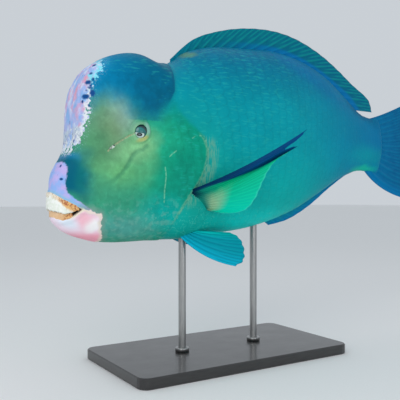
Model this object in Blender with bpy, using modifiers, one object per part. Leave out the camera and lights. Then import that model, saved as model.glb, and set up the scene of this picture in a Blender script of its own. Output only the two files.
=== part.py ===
"""A large adult green humphead parrotfish, life size, swimming slightly nose down on a plain stand.

The fish frame has its origin below the tip of the beak, x running to the tail, z up from the
lowest point of the belly, and the fish's left side at negative y. One empty carries the whole
fish from there to its place over the stand. All sizes are metres.
"""

import math

import bmesh
import bpy
import numpy as np
from mathutils import Matrix

# Overall sizes.
TOTAL_LENGTH = 1.10
BELLY_HEIGHT = 0.26
GAP = 0.0003

# The mesh of the body.
RINGS = 54
RING_POINTS = 32

# Ribs of the body from the mouth to the tail: back x and z, axis x and z, belly x and z, half
# width, and how square the section is above and below its axis (2 is an ellipse).
RIBS = (
    (0.008, 0.078, 0.008, 0.077, 0.008, 0.076, 0.000, 2.4, 2.4),
    (0.005, 0.106, 0.020, 0.080, 0.011, 0.047, 0.023, 2.4, 2.4),
    (0.009, 0.134, 0.034, 0.091, 0.023, 0.031, 0.034, 2.8, 2.5),
    (0.024, 0.160, 0.057, 0.105, 0.043, 0.019, 0.046, 3.6, 2.6),
    (0.038, 0.188, 0.083, 0.122, 0.069, 0.010, 0.056, 4.4, 2.6),
    (0.043, 0.226, 0.111, 0.140, 0.096, 0.003, 0.063, 5.0, 2.6),
    (0.045, 0.266, 0.141, 0.160, 0.128, 0.000, 0.067, 5.0, 2.6),
    (0.054, 0.308, 0.172, 0.178, 0.162, 0.000, 0.071, 4.6, 2.6),
    (0.080, 0.348, 0.203, 0.193, 0.200, 0.001, 0.074, 4.0, 2.6),
    (0.125, 0.373, 0.235, 0.205, 0.238, 0.001, 0.077, 3.4, 2.6),
    (0.173, 0.382, 0.267, 0.213, 0.275, 0.002, 0.080, 3.0, 2.6),
    (0.219, 0.368, 0.298, 0.219, 0.308, 0.005, 0.082, 2.7, 2.5),
    (0.262, 0.378, 0.327, 0.223, 0.338, 0.009, 0.083, 2.5, 2.5),
    (0.305, 0.406, 0.358, 0.226, 0.368, 0.012, 0.084, 2.3, 2.4),
    (0.370, 0.424, 0.405, 0.229, 0.412, 0.015, 0.084, 2.2, 2.4),
    (0.450, 0.431, 0.466, 0.232, 0.468, 0.023, 0.082, 2.1, 2.3),
    (0.535, 0.436, 0.538, 0.234, 0.532, 0.038, 0.076, 2.1, 2.2),
    (0.620, 0.424, 0.615, 0.235, 0.600, 0.061, 0.065, 2.1, 2.2),
    (0.700, 0.395, 0.693, 0.236, 0.670, 0.095, 0.052, 2.1, 2.1),
    (0.770, 0.352, 0.763, 0.235, 0.745, 0.134, 0.039, 2.0, 2.0),
    (0.825, 0.315, 0.823, 0.234, 0.812, 0.159, 0.028, 2.0, 2.0),
    (0.866, 0.304, 0.868, 0.233, 0.862, 0.160, 0.019, 2.0, 2.0),
    (0.900, 0.302, 0.906, 0.232, 0.898, 0.158, 0.011, 2.0, 2.0),
    (0.918, 0.234, 0.918, 0.231, 0.918, 0.228, 0.000, 2.0, 2.0),
)
WIDEST_HALF = max(rib[6] for rib in RIBS)

# Lines of the thin cuts between the parts of the body, as x and z seen from the side.
GILL_LINE = (
    (0.262, 0.440), (0.246, 0.372), (0.238, 0.330), (0.244, 0.285), (0.272, 0.255), (0.300, 0.228),
    (0.309, 0.193), (0.301, 0.156), (0.285, 0.116), (0.262, 0.076), (0.236, 0.036), (0.222, -0.040),
)
HUMP_LINE = ((-0.060, 0.150), (0.030, 0.180), (0.090, 0.238), (0.150, 0.282), (0.205, 0.318), (0.300, 0.372))
JAW_LINE = (
    (-0.050, 0.0720), (0.054, 0.0680), (0.066, 0.0640), (0.083, 0.0570), (0.089, 0.0460),
    (0.090, 0.0300), (0.096, 0.0100), (0.100, -0.0500),
)
STEM_LINE = ((0.730, 0.500), (0.758, 0.370), (0.768, 0.230), (0.758, 0.110), (0.720, -0.050))
COVER_OUTLINE = (
    (0.340, 0.060), (0.250, 0.034), (0.226, 0.052), (0.204, 0.084), (0.192, 0.125), (0.191, 0.170),
    (0.200, 0.215), (0.220, 0.248), (0.262, 0.262), (0.340, 0.262),
)
COVER_SHARE = 0.86
COVER_BLOCK = 0.150

# Open mouth: lower edge of the upper lip, then upper edge of the lower lip, as x and z.
UPPER_LIP = ((-0.040, 0.103), (0.005, 0.098), (0.019, 0.089), (0.043, 0.0745), (0.056, 0.0685))
LOWER_LIP = (
    (0.056, 0.0670), (0.050, 0.0625), (0.044, 0.0570), (0.036, 0.0510), (0.024, 0.0470),
    (0.014, 0.0505), (0.009, 0.0580), (-0.040, 0.0620),
)

# Beak: each plate follows a parabola seen from above, x = tip + BEAK_CURVE * y * y.
BEAK_CURVE = 27.0
BEAK_PLATE = 0.0050
UPPER_BEAK_HALF = 0.0425
UPPER_BEAK_EDGE = (0.0695, 0.0660, 0.0635, 0.0600, 0.0665)
UPPER_BEAK_ROOT = 0.112
LOWER_BEAK_INSET = 0.0056
LOWER_BEAK_HALF = 0.0370
LOWER_BEAK_EDGE = (0.0690, 0.0665, 0.0640, 0.0620, 0.0610)
LOWER_BEAK_ROOT = 0.036

# Eyes.
EYE_RADIUS = 0.0190
EYE_CENTRE = (0.164, 0.0580, 0.218)

# Fins. Rays start on the base and end on the tips, both read from the front ray to the rear one.
DORSAL_BASE = (12.1, 19.5)
DORSAL_SINK = 0.012
DORSAL_TIPS = (
    (0.268, 0.392), (0.325, 0.433), (0.400, 0.465), (0.475, 0.481), (0.550, 0.485), (0.620, 0.475),
    (0.690, 0.451), (0.750, 0.419), (0.805, 0.382), (0.855, 0.360), (0.881, 0.318),
)
DORSAL_THICKNESS = (0.0075, 0.0024)
ANAL_BASE = (15.65, 18.87)
ANAL_SINK = 0.010
ANAL_TIPS = ((0.530, 0.027), (0.590, 0.040), (0.655, 0.071), (0.722, 0.115), (0.778, 0.148), (0.806, 0.158))
ANAL_THICKNESS = (0.0065, 0.0022)
CAUDAL_BASE = ((0.862, 0.300), (0.900, 0.268), (0.905, 0.232), (0.897, 0.195), (0.850, 0.166))
CAUDAL_BEND = ((0.950, 0.320), (0.965, 0.282), (0.965, 0.230), (0.955, 0.170), (0.925, 0.088))
CAUDAL_TIPS = ((1.100, 0.392), (1.062, 0.318), (1.048, 0.240), (1.055, 0.160), (1.088, 0.084))
CAUDAL_THICKNESS = (0.0085, 0.0026)
PECTORAL_BASE = ((0.270, 0.066, 0.104), (0.300, 0.064, 0.083), (0.320, 0.058, 0.066))
PECTORAL_BOW = (0.0, 0.0, -0.009)
PECTORAL_TIPS = (
    (0.466, 0.210, 0.229), (0.449, 0.204, 0.210), (0.434, 0.199, 0.193), (0.453, 0.204, 0.196),
    (0.417, 0.195, 0.181), (0.394, 0.185, 0.160), (0.380, 0.175, 0.133), (0.371, 0.164, 0.102),
    (0.358, 0.148, 0.071), (0.338, 0.128, 0.060), (0.322, 0.108, 0.060),
)
PECTORAL_THICKNESS = (0.0070, 0.0020)
PELVIC_BASE = ((0.274, 0.024, 0.012), (0.292, 0.032, 0.016), (0.308, 0.038, 0.022))
PELVIC_TIPS = {
    "left": (
        (0.388, 0.068, -0.055), (0.405, 0.072, -0.045), (0.407, 0.075, -0.028), (0.400, 0.078, -0.007),
        (0.386, 0.079, 0.009), (0.366, 0.079, 0.018),
    ),
    "right": (
        (0.392, 0.046, -0.013), (0.404, 0.050, -0.004), (0.405, 0.055, 0.004), (0.398, 0.060, 0.010),
        (0.384, 0.064, 0.014), (0.366, 0.068, 0.018),
    ),
}
PELVIC_BOW = (-0.006, 0.0, -0.010)
PELVIC_THICKNESS = (0.0075, 0.0022)

# Stand.
BASE_SIZE = (0.520, 0.280, 0.022)
BASE_CORNER = 0.020
BASE_CHAMFER = 0.002
BASE_CENTRE = 0.390
ROD_RADIUS = 0.0080
ROD_TOPS = {"front": (0.296, 0.032), "rear": (0.486, 0.054)}
ROD_SOCKET = 0.010
ROD_SIDES = 24

# Colour, roughness and metal of each part's own material.
FINISHES = {
    "head": ((0.10, 0.42, 0.24), 0.40, 0.0),
    "forehead_hump": ((0.02, 0.30, 0.42), 0.40, 0.0),
    "lower_jaw": ((0.85, 0.50, 0.56), 0.40, 0.0),
    "gill_cover": ((0.02, 0.40, 0.28), 0.42, 0.0),
    "trunk": ((0.01, 0.36, 0.40), 0.45, 0.0),
    "tail_stem": ((0.01, 0.28, 0.40), 0.45, 0.0),
    "beak": ((0.86, 0.84, 0.74), 0.30, 0.0),
    "eye": ((0.02, 0.12, 0.14), 0.08, 0.0),
    "dorsal_fin": ((0.01, 0.20, 0.26), 0.50, 0.0),
    "anal_fin": ((0.01, 0.26, 0.36), 0.50, 0.0),
    "caudal_fin": ((0.01, 0.20, 0.36), 0.50, 0.0),
    "pectoral_fin": ((0.05, 0.45, 0.32), 0.45, 0.0),
    "pelvic_fin": ((0.01, 0.38, 0.42), 0.45, 0.0),
    "stand_base": ((0.03, 0.03, 0.03), 0.45, 0.0),
    "stand_rod": ((0.62, 0.62, 0.60), 0.30, 1.0),
}
SIDES = {"left": -1, "right": 1}


def clear_scene():
    for old in list(bpy.data.objects):
        bpy.data.objects.remove(old, do_unlink=True)


def new_collection(name):
    collection = bpy.data.collections.new(name)
    bpy.context.scene.collection.children.link(collection)
    return collection


def smooth_curve(rows, places):
    """Catmull-Rom curve through the rows, read at places counted in rows."""
    rows = np.asarray(rows, float)
    places = np.asarray(places, float)
    last = len(rows) - 1
    index = np.clip(np.floor(places).astype(int), 0, last - 1)
    part = (places - index)[..., None] if rows.ndim > 1 else places - index
    before, start, end, after = (rows[np.clip(index + step, 0, last)] for step in (-1, 0, 1, 2))
    cubic = 3 * (start - end) + after - before
    square = 2 * before - 5 * start + 4 * end - after
    return start + 0.5 * part * (end - before + part * (square + part * cubic))


def body_points(places, angles):
    """Points of the body's surface: places run along the ribs, angles go round from the left side."""
    rib = smooth_curve(RIBS, places)
    back, axis, belly = rib[:, 0:2], rib[:, 2:4], rib[:, 4:6]
    rise = np.sin(angles)
    across = np.cos(angles)
    power = 2 / np.where(rise > 0, rib[:, 7], rib[:, 8])
    height = (np.sign(rise) * np.abs(rise) ** power)[:, None]
    flat = axis + height * (back - belly) / 2 + height**2 * ((back + belly) / 2 - axis)
    side = rib[:, 6] * np.sign(across) * np.abs(across) ** power
    return np.stack([flat[:, 0], side, flat[:, 1]], axis=1)


def mesh_from(shape, name):
    """A Blender mesh of the bmesh, with its faces turned outwards."""
    bmesh.ops.recalc_face_normals(shape, faces=shape.faces)
    mesh = bpy.data.meshes.new(name)
    shape.to_mesh(mesh)
    shape.free()
    return mesh


def body_mesh(name, grow=0.0, share=1.0):
    """The whole body from mouth to tail stem: a round ball carried onto the ribs."""
    shape = bmesh.new()
    bmesh.ops.create_uvsphere(shape, u_segments=RING_POINTS, v_segments=RINGS, radius=1)
    ball = np.array([vertex.co[:] for vertex in shape.verts])
    polar = np.arccos(np.clip(ball[:, 2], -1, 1))
    points = body_points(polar / math.pi * (len(RIBS) - 1), np.arctan2(ball[:, 1], ball[:, 0]))
    points[:, 1] *= share
    for vertex, point in zip(shape.verts, points):
        vertex.co = point
    bmesh.ops.recalc_face_normals(shape, faces=shape.faces)
    shape.normal_update()
    for vertex in shape.verts:
        vertex.co += vertex.normal * grow
    return mesh_from(shape, name)


def prism_mesh(name, outline, half_width=0.25):
    """The outline, given as x and z, carried right across the fish."""
    shape = bmesh.new()
    corners = [shape.verts.new((x, -half_width, z)) for x, z in outline]
    face = shape.faces.new(corners)
    swept = bmesh.ops.extrude_face_region(shape, geom=[face])
    moved = [item for item in swept["geom"] if isinstance(item, bmesh.types.BMVert)]
    bmesh.ops.translate(shape, verts=moved, vec=(0, 2 * half_width, 0))
    return mesh_from(shape, name)


def rounded_line(corners, steps=3):
    """The line drawn smoothly through its corners."""
    return smooth_curve(corners, np.linspace(0, len(corners) - 1, steps * (len(corners) - 1) + 1))


def moved_line(line, distance):
    """The line moved sideways by the distance, to its left as it is drawn."""
    points = np.array(line)
    run = np.gradient(points, axis=0)
    run /= np.linalg.norm(run, axis=1)[:, None]
    return points + distance * np.stack([-run[:, 1], run[:, 0]], axis=1)


def grown_outline(outline, distance):
    """The closed outline moved outwards by the distance, or inwards where it is negative."""
    points = np.array(outline)
    run = np.roll(points, -1, axis=0) - np.roll(points, 1, axis=0)
    run /= np.linalg.norm(run, axis=1)[:, None]
    area = np.sum(points[:, 0] * np.roll(points[:, 1], -1) - np.roll(points[:, 0], -1) * points[:, 1])
    outwards = np.stack([run[:, 1], -run[:, 0]], axis=1) * np.sign(area)
    return [tuple(point) for point in points + distance * outwards]


def one_side(line, distance, towards):
    """Outline of all that lies on one side of a cut, the line being moved by the distance."""
    points = moved_line(line, distance)
    far = points[[-1, 0]] + np.array(towards)
    return [tuple(point) for point in np.concatenate([points, far])]


def slab_mesh(name, columns, rows, place):
    """A thin closed sheet: place(along, out, side) gives each of its points, side being -1 or 1."""
    shape = bmesh.new()
    bmesh.ops.create_grid(shape, x_segments=columns, y_segments=rows, size=1)
    swept = bmesh.ops.extrude_face_region(shape, geom=shape.faces[:])
    moved = [item for item in swept["geom"] if isinstance(item, bmesh.types.BMVert)]
    bmesh.ops.translate(shape, verts=moved, vec=(0, 0, 1))
    for vertex in shape.verts:
        x, y, z = vertex.co
        vertex.co = place((x + 1) / 2, (y + 1) / 2, 2 * z - 1)
    return mesh_from(shape, name)


def row_at(rows, part):
    return smooth_curve(rows, part * (len(rows) - 1))


def upright(point, offset):
    return (point[0], offset, point[1])


def half_thickness(thickness, out):
    root, edge = thickness
    return (edge + (root - edge) * (1 - out) ** 1.5) / 2


def dorsal_place(along, out, side):
    first, last = DORSAL_BASE
    base = smooth_curve(RIBS, first + (last - first) * along)[0:2] - (0, DORSAL_SINK)
    point = base + (row_at(DORSAL_TIPS, along) - base) * out
    return upright(point, side * half_thickness(DORSAL_THICKNESS, out))


def anal_place(along, out, side):
    first, last = ANAL_BASE
    base = smooth_curve(RIBS, first + (last - first) * along)[4:6] + (0, ANAL_SINK)
    point = base + (row_at(ANAL_TIPS, along) - base) * out
    return upright(point, side * half_thickness(ANAL_THICKNESS, out))


def caudal_place(along, out, side):
    base, bend, tip = (row_at(rows, along) for rows in (CAUDAL_BASE, CAUDAL_BEND, CAUDAL_TIPS))
    point = (1 - out) ** 2 * base + 2 * out * (1 - out) * bend + out**2 * tip
    return upright(point, side * half_thickness(CAUDAL_THICKNESS, out))


def paired_place(base_rows, tip_rows, bow, thickness, hand):
    """Places of a paired fin, whose first ray bows most and whose thickness is square to its sheet."""
    base_rows = np.array(base_rows) * (1, hand, 1)
    tip_rows = np.array(tip_rows) * (1, hand, 1)
    bow = np.array(bow) * (1, hand, 1)

    def place(along, out, side):
        base = row_at(base_rows, along)
        tip = row_at(tip_rows, along)
        across = np.cross(tip - base, tip_rows[0] - tip_rows[-1])
        across /= np.linalg.norm(across)
        bowed = bow * 4 * out * (1 - out) * (1 - along)
        return base + (tip - base) * out + bowed + across * side * half_thickness(thickness, out)

    return place


def beak_place(inset, half, edge_rows, root):
    """Places of a beak plate: along goes from the left corner to the right one, out to the edge."""

    def place(along, out, side):
        across = 2 * along - 1
        slope = 2 * BEAK_CURVE * across * half
        inward = np.array([1.0, -slope]) / math.hypot(1.0, slope)
        front = np.array([BEAK_CURVE * (across * half) ** 2, across * half])
        x, y = front + inward * (inset + BEAK_PLATE * (side + 1) / 2)
        edge = row_at(edge_rows, abs(across))
        return (x, y, root + (edge - root) * out)

    return place


def finish(name):
    """The material of a part, made once and shared by the parts of a pair."""
    if name in bpy.data.materials:
        return bpy.data.materials[name]
    colour, roughness, metallic = FINISHES[name]
    material = bpy.data.materials.new(name)
    material.use_nodes = True
    shader = material.node_tree.nodes["Principled BSDF"]
    shader.inputs["Base Color"].default_value = (*colour, 1)
    shader.inputs["Roughness"].default_value = roughness
    shader.inputs["Metallic"].default_value = metallic
    return material


def add_part(name, mesh, kind, collection, parent=None):
    part = bpy.data.objects.new(name, mesh)
    collection.objects.link(part)
    part.parent = parent
    mesh.materials.append(finish(kind))
    mesh.shade_smooth()
    mesh.set_sharp_from_angle(angle=math.radians(40))
    return part


def add_cutter(name, mesh, collection, parent=None):
    cutter = bpy.data.objects.new(name, mesh)
    collection.objects.link(cutter)
    cutter.parent = parent
    cutter.hide_render = True
    cutter.display_type = "WIRE"
    return cutter


def boolean(part, operation, cutter):
    modifier = part.modifiers.new(f"{operation.lower()} {cutter.name}", "BOOLEAN")
    modifier.operation = operation
    modifier.object = cutter
    modifier.solver = "EXACT"


def make_region_cutters(collection, parent):
    """The regions that part the body, each half a gap short of its neighbour, and the open mouth."""
    half = GAP / 2
    gill, hump, stem = (rounded_line(line) for line in (GILL_LINE, HUMP_LINE, STEM_LINE))
    mouth = UPPER_LIP + LOWER_LIP
    outlines = {
        "before_gills": one_side(gill, -half, (-0.6, 0)),
        "behind_gills": one_side(gill, half, (0.9, 0)),
        "above_brow": one_side(hump, half, (0, 0.4)),
        "below_brow": one_side(hump, -half, (0, -0.6)),
        "jaw_region": one_side(JAW_LINE, -half, (-0.2, -0.3)),
        "jaw_clearance": one_side(JAW_LINE, half, (-0.2, -0.3)),
        "before_stem": one_side(stem, -half, (-0.9, 0)),
        "behind_stem": one_side(stem, half, (0.4, 0)),
        "mouth": mouth,
        "beak_space": grown_outline(mouth, -GAP),
    }
    return {
        name: add_cutter(name, prism_mesh(name, outline), collection, parent)
        for name, outline in outlines.items()
    }


def make_cover_cutters(collection, parent):
    """The two blocks that the gill covers are cut with, and the larger ones that clear them."""
    cover = rounded_line(COVER_OUTLINE, 2)
    clearance = grown_outline(cover, GAP)
    core = add_cutter("cover_core", body_mesh("cover_core", share=COVER_SHARE), collection, parent)
    inner = body_mesh("clearance_core", share=COVER_SHARE - GAP / WIDEST_HALF)
    clearance_core = add_cutter("clearance_core", inner, collection, parent)
    blocks = {}
    for side, hand in SIDES.items():
        for name, outline, middle in (("cover", cover, core), ("clearance", clearance, clearance_core)):
            mesh = prism_mesh(f"{name}_{side}", outline, COVER_BLOCK / 2)
            mesh.transform(Matrix.Translation((0, hand * COVER_BLOCK / 2, 0)))
            block = add_cutter(f"{name}_{side}", mesh, collection, parent)
            boolean(block, "DIFFERENCE", middle)
            blocks[name, side] = block
    return blocks


def make_eyes(parts, helpers, parent):
    """Each eye is a ball, sunk in a socket that the head is cut with."""
    sockets = []
    x, y, z = EYE_CENTRE
    turn = Matrix.Rotation(math.pi / 2, 4, "X")
    for side, hand in SIDES.items():
        place = Matrix.Translation((x, hand * y, z)) @ turn
        for name, radius in ((f"eye_{side}", EYE_RADIUS), (f"eye_socket_{side}", EYE_RADIUS + GAP)):
            shape = bmesh.new()
            bmesh.ops.create_uvsphere(shape, u_segments=16, v_segments=9, radius=radius, matrix=place)
            mesh = mesh_from(shape, name)
            if radius == EYE_RADIUS:
                add_part(name, mesh, "eye", parts, parent)
            else:
                sockets.append(add_cutter(name, mesh, helpers, parent))
    return sockets


def make_flesh(parts, helpers, parent):
    """The body, parted by thin cuts into head, forehead hump, jaw, gill covers, trunk and tail stem."""
    regions = make_region_cutters(helpers, parent)
    blocks = make_cover_cutters(helpers, parent)
    sockets = make_eyes(parts, helpers, parent)
    before_gills = regions["before_gills"]
    keeps = {
        "head": (before_gills, regions["below_brow"]),
        "forehead_hump": (before_gills, regions["above_brow"]),
        "lower_jaw": (regions["jaw_region"],),
        "gill_cover_left": (before_gills, blocks["cover", "left"]),
        "gill_cover_right": (before_gills, blocks["cover", "right"]),
        "trunk": (regions["behind_gills"], regions["before_stem"]),
        "tail_stem": (regions["behind_stem"],),
    }
    clearances = [blocks["clearance", side] for side in SIDES]
    removes = {
        "head": [regions["jaw_clearance"], regions["mouth"], *clearances, *sockets],
        "lower_jaw": [regions["mouth"]],
    }
    flesh = {}
    for name, kept in keeps.items():
        kind = name.removesuffix("_left").removesuffix("_right")
        flesh[name] = add_part(name, body_mesh(name), kind, parts, parent)
        for cutter in kept:
            boolean(flesh[name], "INTERSECT", cutter)
        for cutter in removes.get(name, ()):
            boolean(flesh[name], "DIFFERENCE", cutter)
    return flesh, regions["beak_space"]


def make_beak(parts, parent, beak_space):
    """Two curved plates of fused teeth, which fill the front of the open mouth."""
    plates = {
        "beak_upper": beak_place(0.0, UPPER_BEAK_HALF, UPPER_BEAK_EDGE, UPPER_BEAK_ROOT),
        "beak_lower": beak_place(LOWER_BEAK_INSET, LOWER_BEAK_HALF, LOWER_BEAK_EDGE, LOWER_BEAK_ROOT),
    }
    for name, place in plates.items():
        plate = add_part(name, slab_mesh(name, 16, 3, place), "beak", parts, parent)
        boolean(plate, "INTERSECT", beak_space)


def make_fins(parts, helpers, parent):
    """Every fin is one thin sheet, whose root is cut to the body with a gap."""
    fins = [
        ("dorsal_fin", "dorsal_fin", 20, 2, dorsal_place),
        ("anal_fin", "anal_fin", 14, 2, anal_place),
        ("caudal_fin", "caudal_fin", 14, 4, caudal_place),
    ]
    for side, hand in SIDES.items():
        pectoral = paired_place(PECTORAL_BASE, PECTORAL_TIPS, PECTORAL_BOW, PECTORAL_THICKNESS, hand)
        pelvic = paired_place(PELVIC_BASE, PELVIC_TIPS[side], PELVIC_BOW, PELVIC_THICKNESS, hand)
        fins.append((f"pectoral_fin_{side}", "pectoral_fin", 20, 3, pectoral))
        fins.append((f"pelvic_fin_{side}", "pelvic_fin", 10, 3, pelvic))
    body = add_cutter("body_clearance", body_mesh("body_clearance", grow=GAP), helpers, parent)
    for name, kind, columns, rows, place in fins:
        fin = add_part(name, slab_mesh(name, columns, rows, place), kind, parts, parent)
        boolean(fin, "DIFFERENCE", body)


def rod_mesh(name, radius, depth):
    shape = bmesh.new()
    bmesh.ops.create_cone(
        shape, cap_ends=True, segments=ROD_SIDES, radius1=radius, radius2=radius, depth=depth
    )
    return mesh_from(shape, name)


def make_stand(parts, helpers, trunk):
    """A flat base with two upright rods, let into the base below and into the belly above."""
    shape = bmesh.new()
    bmesh.ops.create_cube(shape, size=1)
    bmesh.ops.scale(shape, verts=shape.verts, vec=BASE_SIZE)
    upright_edges = [edge for edge in shape.edges if edge.verts[0].co.xy == edge.verts[1].co.xy]
    bmesh.ops.bevel(
        shape, geom=upright_edges, offset=BASE_CORNER, segments=4, profile=0.5, affect="EDGES", material=-1
    )
    base = add_part("stand_base", mesh_from(shape, "stand_base"), "stand_base", parts)
    base.location = (BASE_CENTRE - TOTAL_LENGTH / 2, 0, BASE_SIZE[2] / 2)
    chamfer = base.modifiers.new("chamfered edges", "BEVEL")
    chamfer.width = BASE_CHAMFER
    chamfer.segments = 1
    floor = BASE_SIZE[2] - ROD_SOCKET
    for name, (x, top) in ROD_TOPS.items():
        depth = BELLY_HEIGHT + top - floor
        place = (x - TOTAL_LENGTH / 2, 0, floor + depth / 2)
        rod = add_part(f"stand_rod_{name}", rod_mesh("rod", ROD_RADIUS, depth), "stand_rod", parts)
        rod.location = place
        hole = rod_mesh("rod_socket", ROD_RADIUS + GAP, depth + 2 * GAP)
        socket = add_cutter(f"rod_socket_{name}", hole, helpers)
        socket.location = place
        boolean(base, "DIFFERENCE", socket)
        boolean(trunk, "DIFFERENCE", socket)


def main():
    clear_scene()
    parts = new_collection("parrotfish")
    helpers = new_collection("cutters")
    fish = bpy.data.objects.new("fish", None)
    fish.location = (-TOTAL_LENGTH / 2, 0, BELLY_HEIGHT)
    helpers.objects.link(fish)
    flesh, beak_space = make_flesh(parts, helpers, fish)
    make_beak(parts, fish, beak_space)
    make_fins(parts, helpers, fish)
    make_stand(parts, helpers, flesh["trunk"])


main()
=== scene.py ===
"""A life-size museum model of a large adult green humphead parrotfish on a plain stand.

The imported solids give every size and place. The fish frame used below has its origin under the
tip of the beak, x running to the tail, z up from the belly and the fish's left side at negative y.
"""

import math

import bmesh
import bpy
import numpy as np
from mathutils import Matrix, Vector, noise


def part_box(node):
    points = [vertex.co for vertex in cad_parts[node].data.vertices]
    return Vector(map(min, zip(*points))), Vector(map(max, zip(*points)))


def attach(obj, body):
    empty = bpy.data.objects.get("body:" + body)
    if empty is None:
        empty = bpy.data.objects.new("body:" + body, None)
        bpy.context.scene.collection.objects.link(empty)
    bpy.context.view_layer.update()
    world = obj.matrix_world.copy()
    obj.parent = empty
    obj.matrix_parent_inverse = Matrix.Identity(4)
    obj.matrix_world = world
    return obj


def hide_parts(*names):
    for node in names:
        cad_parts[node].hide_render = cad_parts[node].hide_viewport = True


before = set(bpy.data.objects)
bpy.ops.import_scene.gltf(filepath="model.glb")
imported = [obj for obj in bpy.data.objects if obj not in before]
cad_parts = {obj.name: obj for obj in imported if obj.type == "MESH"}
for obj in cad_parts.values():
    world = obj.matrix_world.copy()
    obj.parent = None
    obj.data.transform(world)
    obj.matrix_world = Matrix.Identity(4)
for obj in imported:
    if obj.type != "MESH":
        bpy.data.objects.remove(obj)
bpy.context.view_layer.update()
bpy.context.scene.view_settings.view_transform = "Standard"


# The base of the stand: a flat slab of hardwood under satin black lacquer. The grain shows as a
# faint relief and a faint tone through the lacquer, whose gloss varies a little in patches.


class Tone:
    """A value or colour in a finish. Arithmetic on it adds the nodes that work it out."""

    def __init__(self, tree, socket=None):
        self.tree = tree
        self.socket = socket

    def node(self, kind, settings=(), sockets=(), output=0):
        made = self.tree.nodes.new(kind)
        for name, value in dict(settings).items():
            setattr(made, name, value)
        for name, value in dict(sockets).items():
            if isinstance(value, Tone):
                self.tree.links.new(value.socket, made.inputs[name])
            else:
                made.inputs[name].default_value = value
        return Tone(self.tree, made.outputs[output])

    def math(self, operation, *others):
        return self.node("ShaderNodeMath", {"operation": operation}, enumerate((self, *others)))

    def __add__(self, other):
        return self.math("ADD", other)

    def __sub__(self, other):
        return self.math("SUBTRACT", other)

    def __mul__(self, other):
        return self.math("MULTIPLY", other)

    def __rsub__(self, other):
        return self * -1 + other

    __radd__ = __add__
    __rmul__ = __mul__

    def rise(self, low, high):
        """0 below low, 1 above high and smooth between; falls instead where low is over high."""
        ends = {"From Min": low, "From Max": high} if low < high else {"From Min": high, "From Max": low}
        up = self.node("ShaderNodeMapRange", {"interpolation_type": "SMOOTHSTEP"}, {"Value": self, **ends})
        return up if low < high else 1 - up

    def blend(self, under, over):
        """The colour over, laid on the colour under where this value is 1."""
        return self.node("ShaderNodeMix", {"data_type": "RGBA"}, {0: self, 6: under, 7: over}, 2)

    def shade(self, level):
        """This colour made lighter or darker by a level around 1."""
        return self.node("ShaderNodeVectorMath", {"operation": "SCALE"}, {0: self, "Scale": level})


def paint(red, green, blue):
    """A display colour, given as 0 to 255, in the linear light that materials use."""
    levels = [value / 255 for value in (red, green, blue)]
    return (*(v / 12.92 if v <= 0.04045 else ((v + 0.055) / 1.055) ** 2.4 for v in levels), 1)


class Finish:
    """A material made of nodes. It reads places in metres, in the fish frame."""

    def __init__(self, name, **constants):
        self.material = bpy.data.materials.new(name)
        self.material.use_nodes = True
        self.tree = self.material.node_tree
        self.shader = self.tree.nodes["Principled BSDF"]
        for socket, value in constants.items():
            self.shader.inputs[socket.replace("_", " ")].default_value = value
        start = Tone(self.tree)
        world = start.node("ShaderNodeTexCoord", output=3)
        origin = [-value for value in FISH_ORIGIN]
        self.place = start.node("ShaderNodeMapping", {}, {"Vector": world, "Location": origin})

    def read(self, attribute):
        named = {"attribute_type": "GEOMETRY", "attribute_name": attribute}
        return self.place.node("ShaderNodeAttribute", named, output=2)

    def axis(self, index):
        return self.place.node("ShaderNodeSeparateXYZ", {}, {"Vector": self.place}, index)

    def stretched(self, scale, turn=0.0):
        """The place turned about y, with each axis scaled."""
        sockets = {"Vector": self.place, "Rotation": (0, turn, 0), "Scale": scale}
        return self.place.node("ShaderNodeMapping", {}, sockets)

    def cloud(self, size, detail=3.0, place=None, roughness=0.5):
        """Soft noise about 0 to 1, with lumps of the size."""
        sockets = {
            "Vector": place or self.place, "Scale": 1 / size, "Detail": detail, "Roughness": roughness,
        }
        return self.place.node("ShaderNodeTexNoise", {}, sockets)

    def cells(self, size, place=None, output=0, feature="F1"):
        sockets = {"Vector": place or self.place, "Scale": 1 / size}
        return self.place.node("ShaderNodeTexVoronoi", {"feature": feature}, sockets, output)

    def warped(self, size, amount):
        """The place, pushed about by noise with lumps of the size."""
        sockets = {"Vector": self.place, "Scale": 1 / size, "Detail": 2.0}
        push = self.place.node("ShaderNodeTexNoise", {}, sockets, 1)
        centred = push.node("ShaderNodeVectorMath", {"operation": "SUBTRACT"}, {0: push, 1: (0.5, 0.5, 0.5)})
        moved = {0: centred, 1: (amount, amount, amount), 2: self.place}
        return push.node("ShaderNodeVectorMath", {"operation": "MULTIPLY_ADD"}, moved)

    def blob(self, x, z, long, wide, turn=0.0, soft=0.4, place=None, y=None):
        """1 inside an ellipse seen from the side, fading out over the soft share of its size. With
        a distance y from the middle plane it is a ball there instead, on both sides."""
        sockets = {
            "Vector": place or self.place, "Location": (x, y or 0, z),
            "Rotation": (0, -math.radians(turn), 0), "Scale": (long, long if y is not None else 1e3, wide),
        }
        local = self.place.node("ShaderNodeMapping", {"vector_type": "TEXTURE"}, sockets)
        reach = self.place.node("ShaderNodeVectorMath", {"operation": "LENGTH"}, {0: local}, 1)
        return reach.rise(1 + soft, 1 - soft)

    def wear(self, height, depth, colour=None, roughness=None, **others):
        """Joins the finish to its shader, with the height as relief of the depth."""
        sockets = {"Height": height, "Distance": depth, "Strength": 1.0}
        others["Normal"] = height.node("ShaderNodeBump", {}, sockets)
        for name, tone in {"Base Color": colour, "Roughness": roughness, **others}.items():
            if tone is not None:
                self.tree.links.new(tone.socket, self.shader.inputs[name.replace("_", " ")])
        return self.material


FISH_ORIGIN = (-0.55, 0.0, 0.26)

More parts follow.
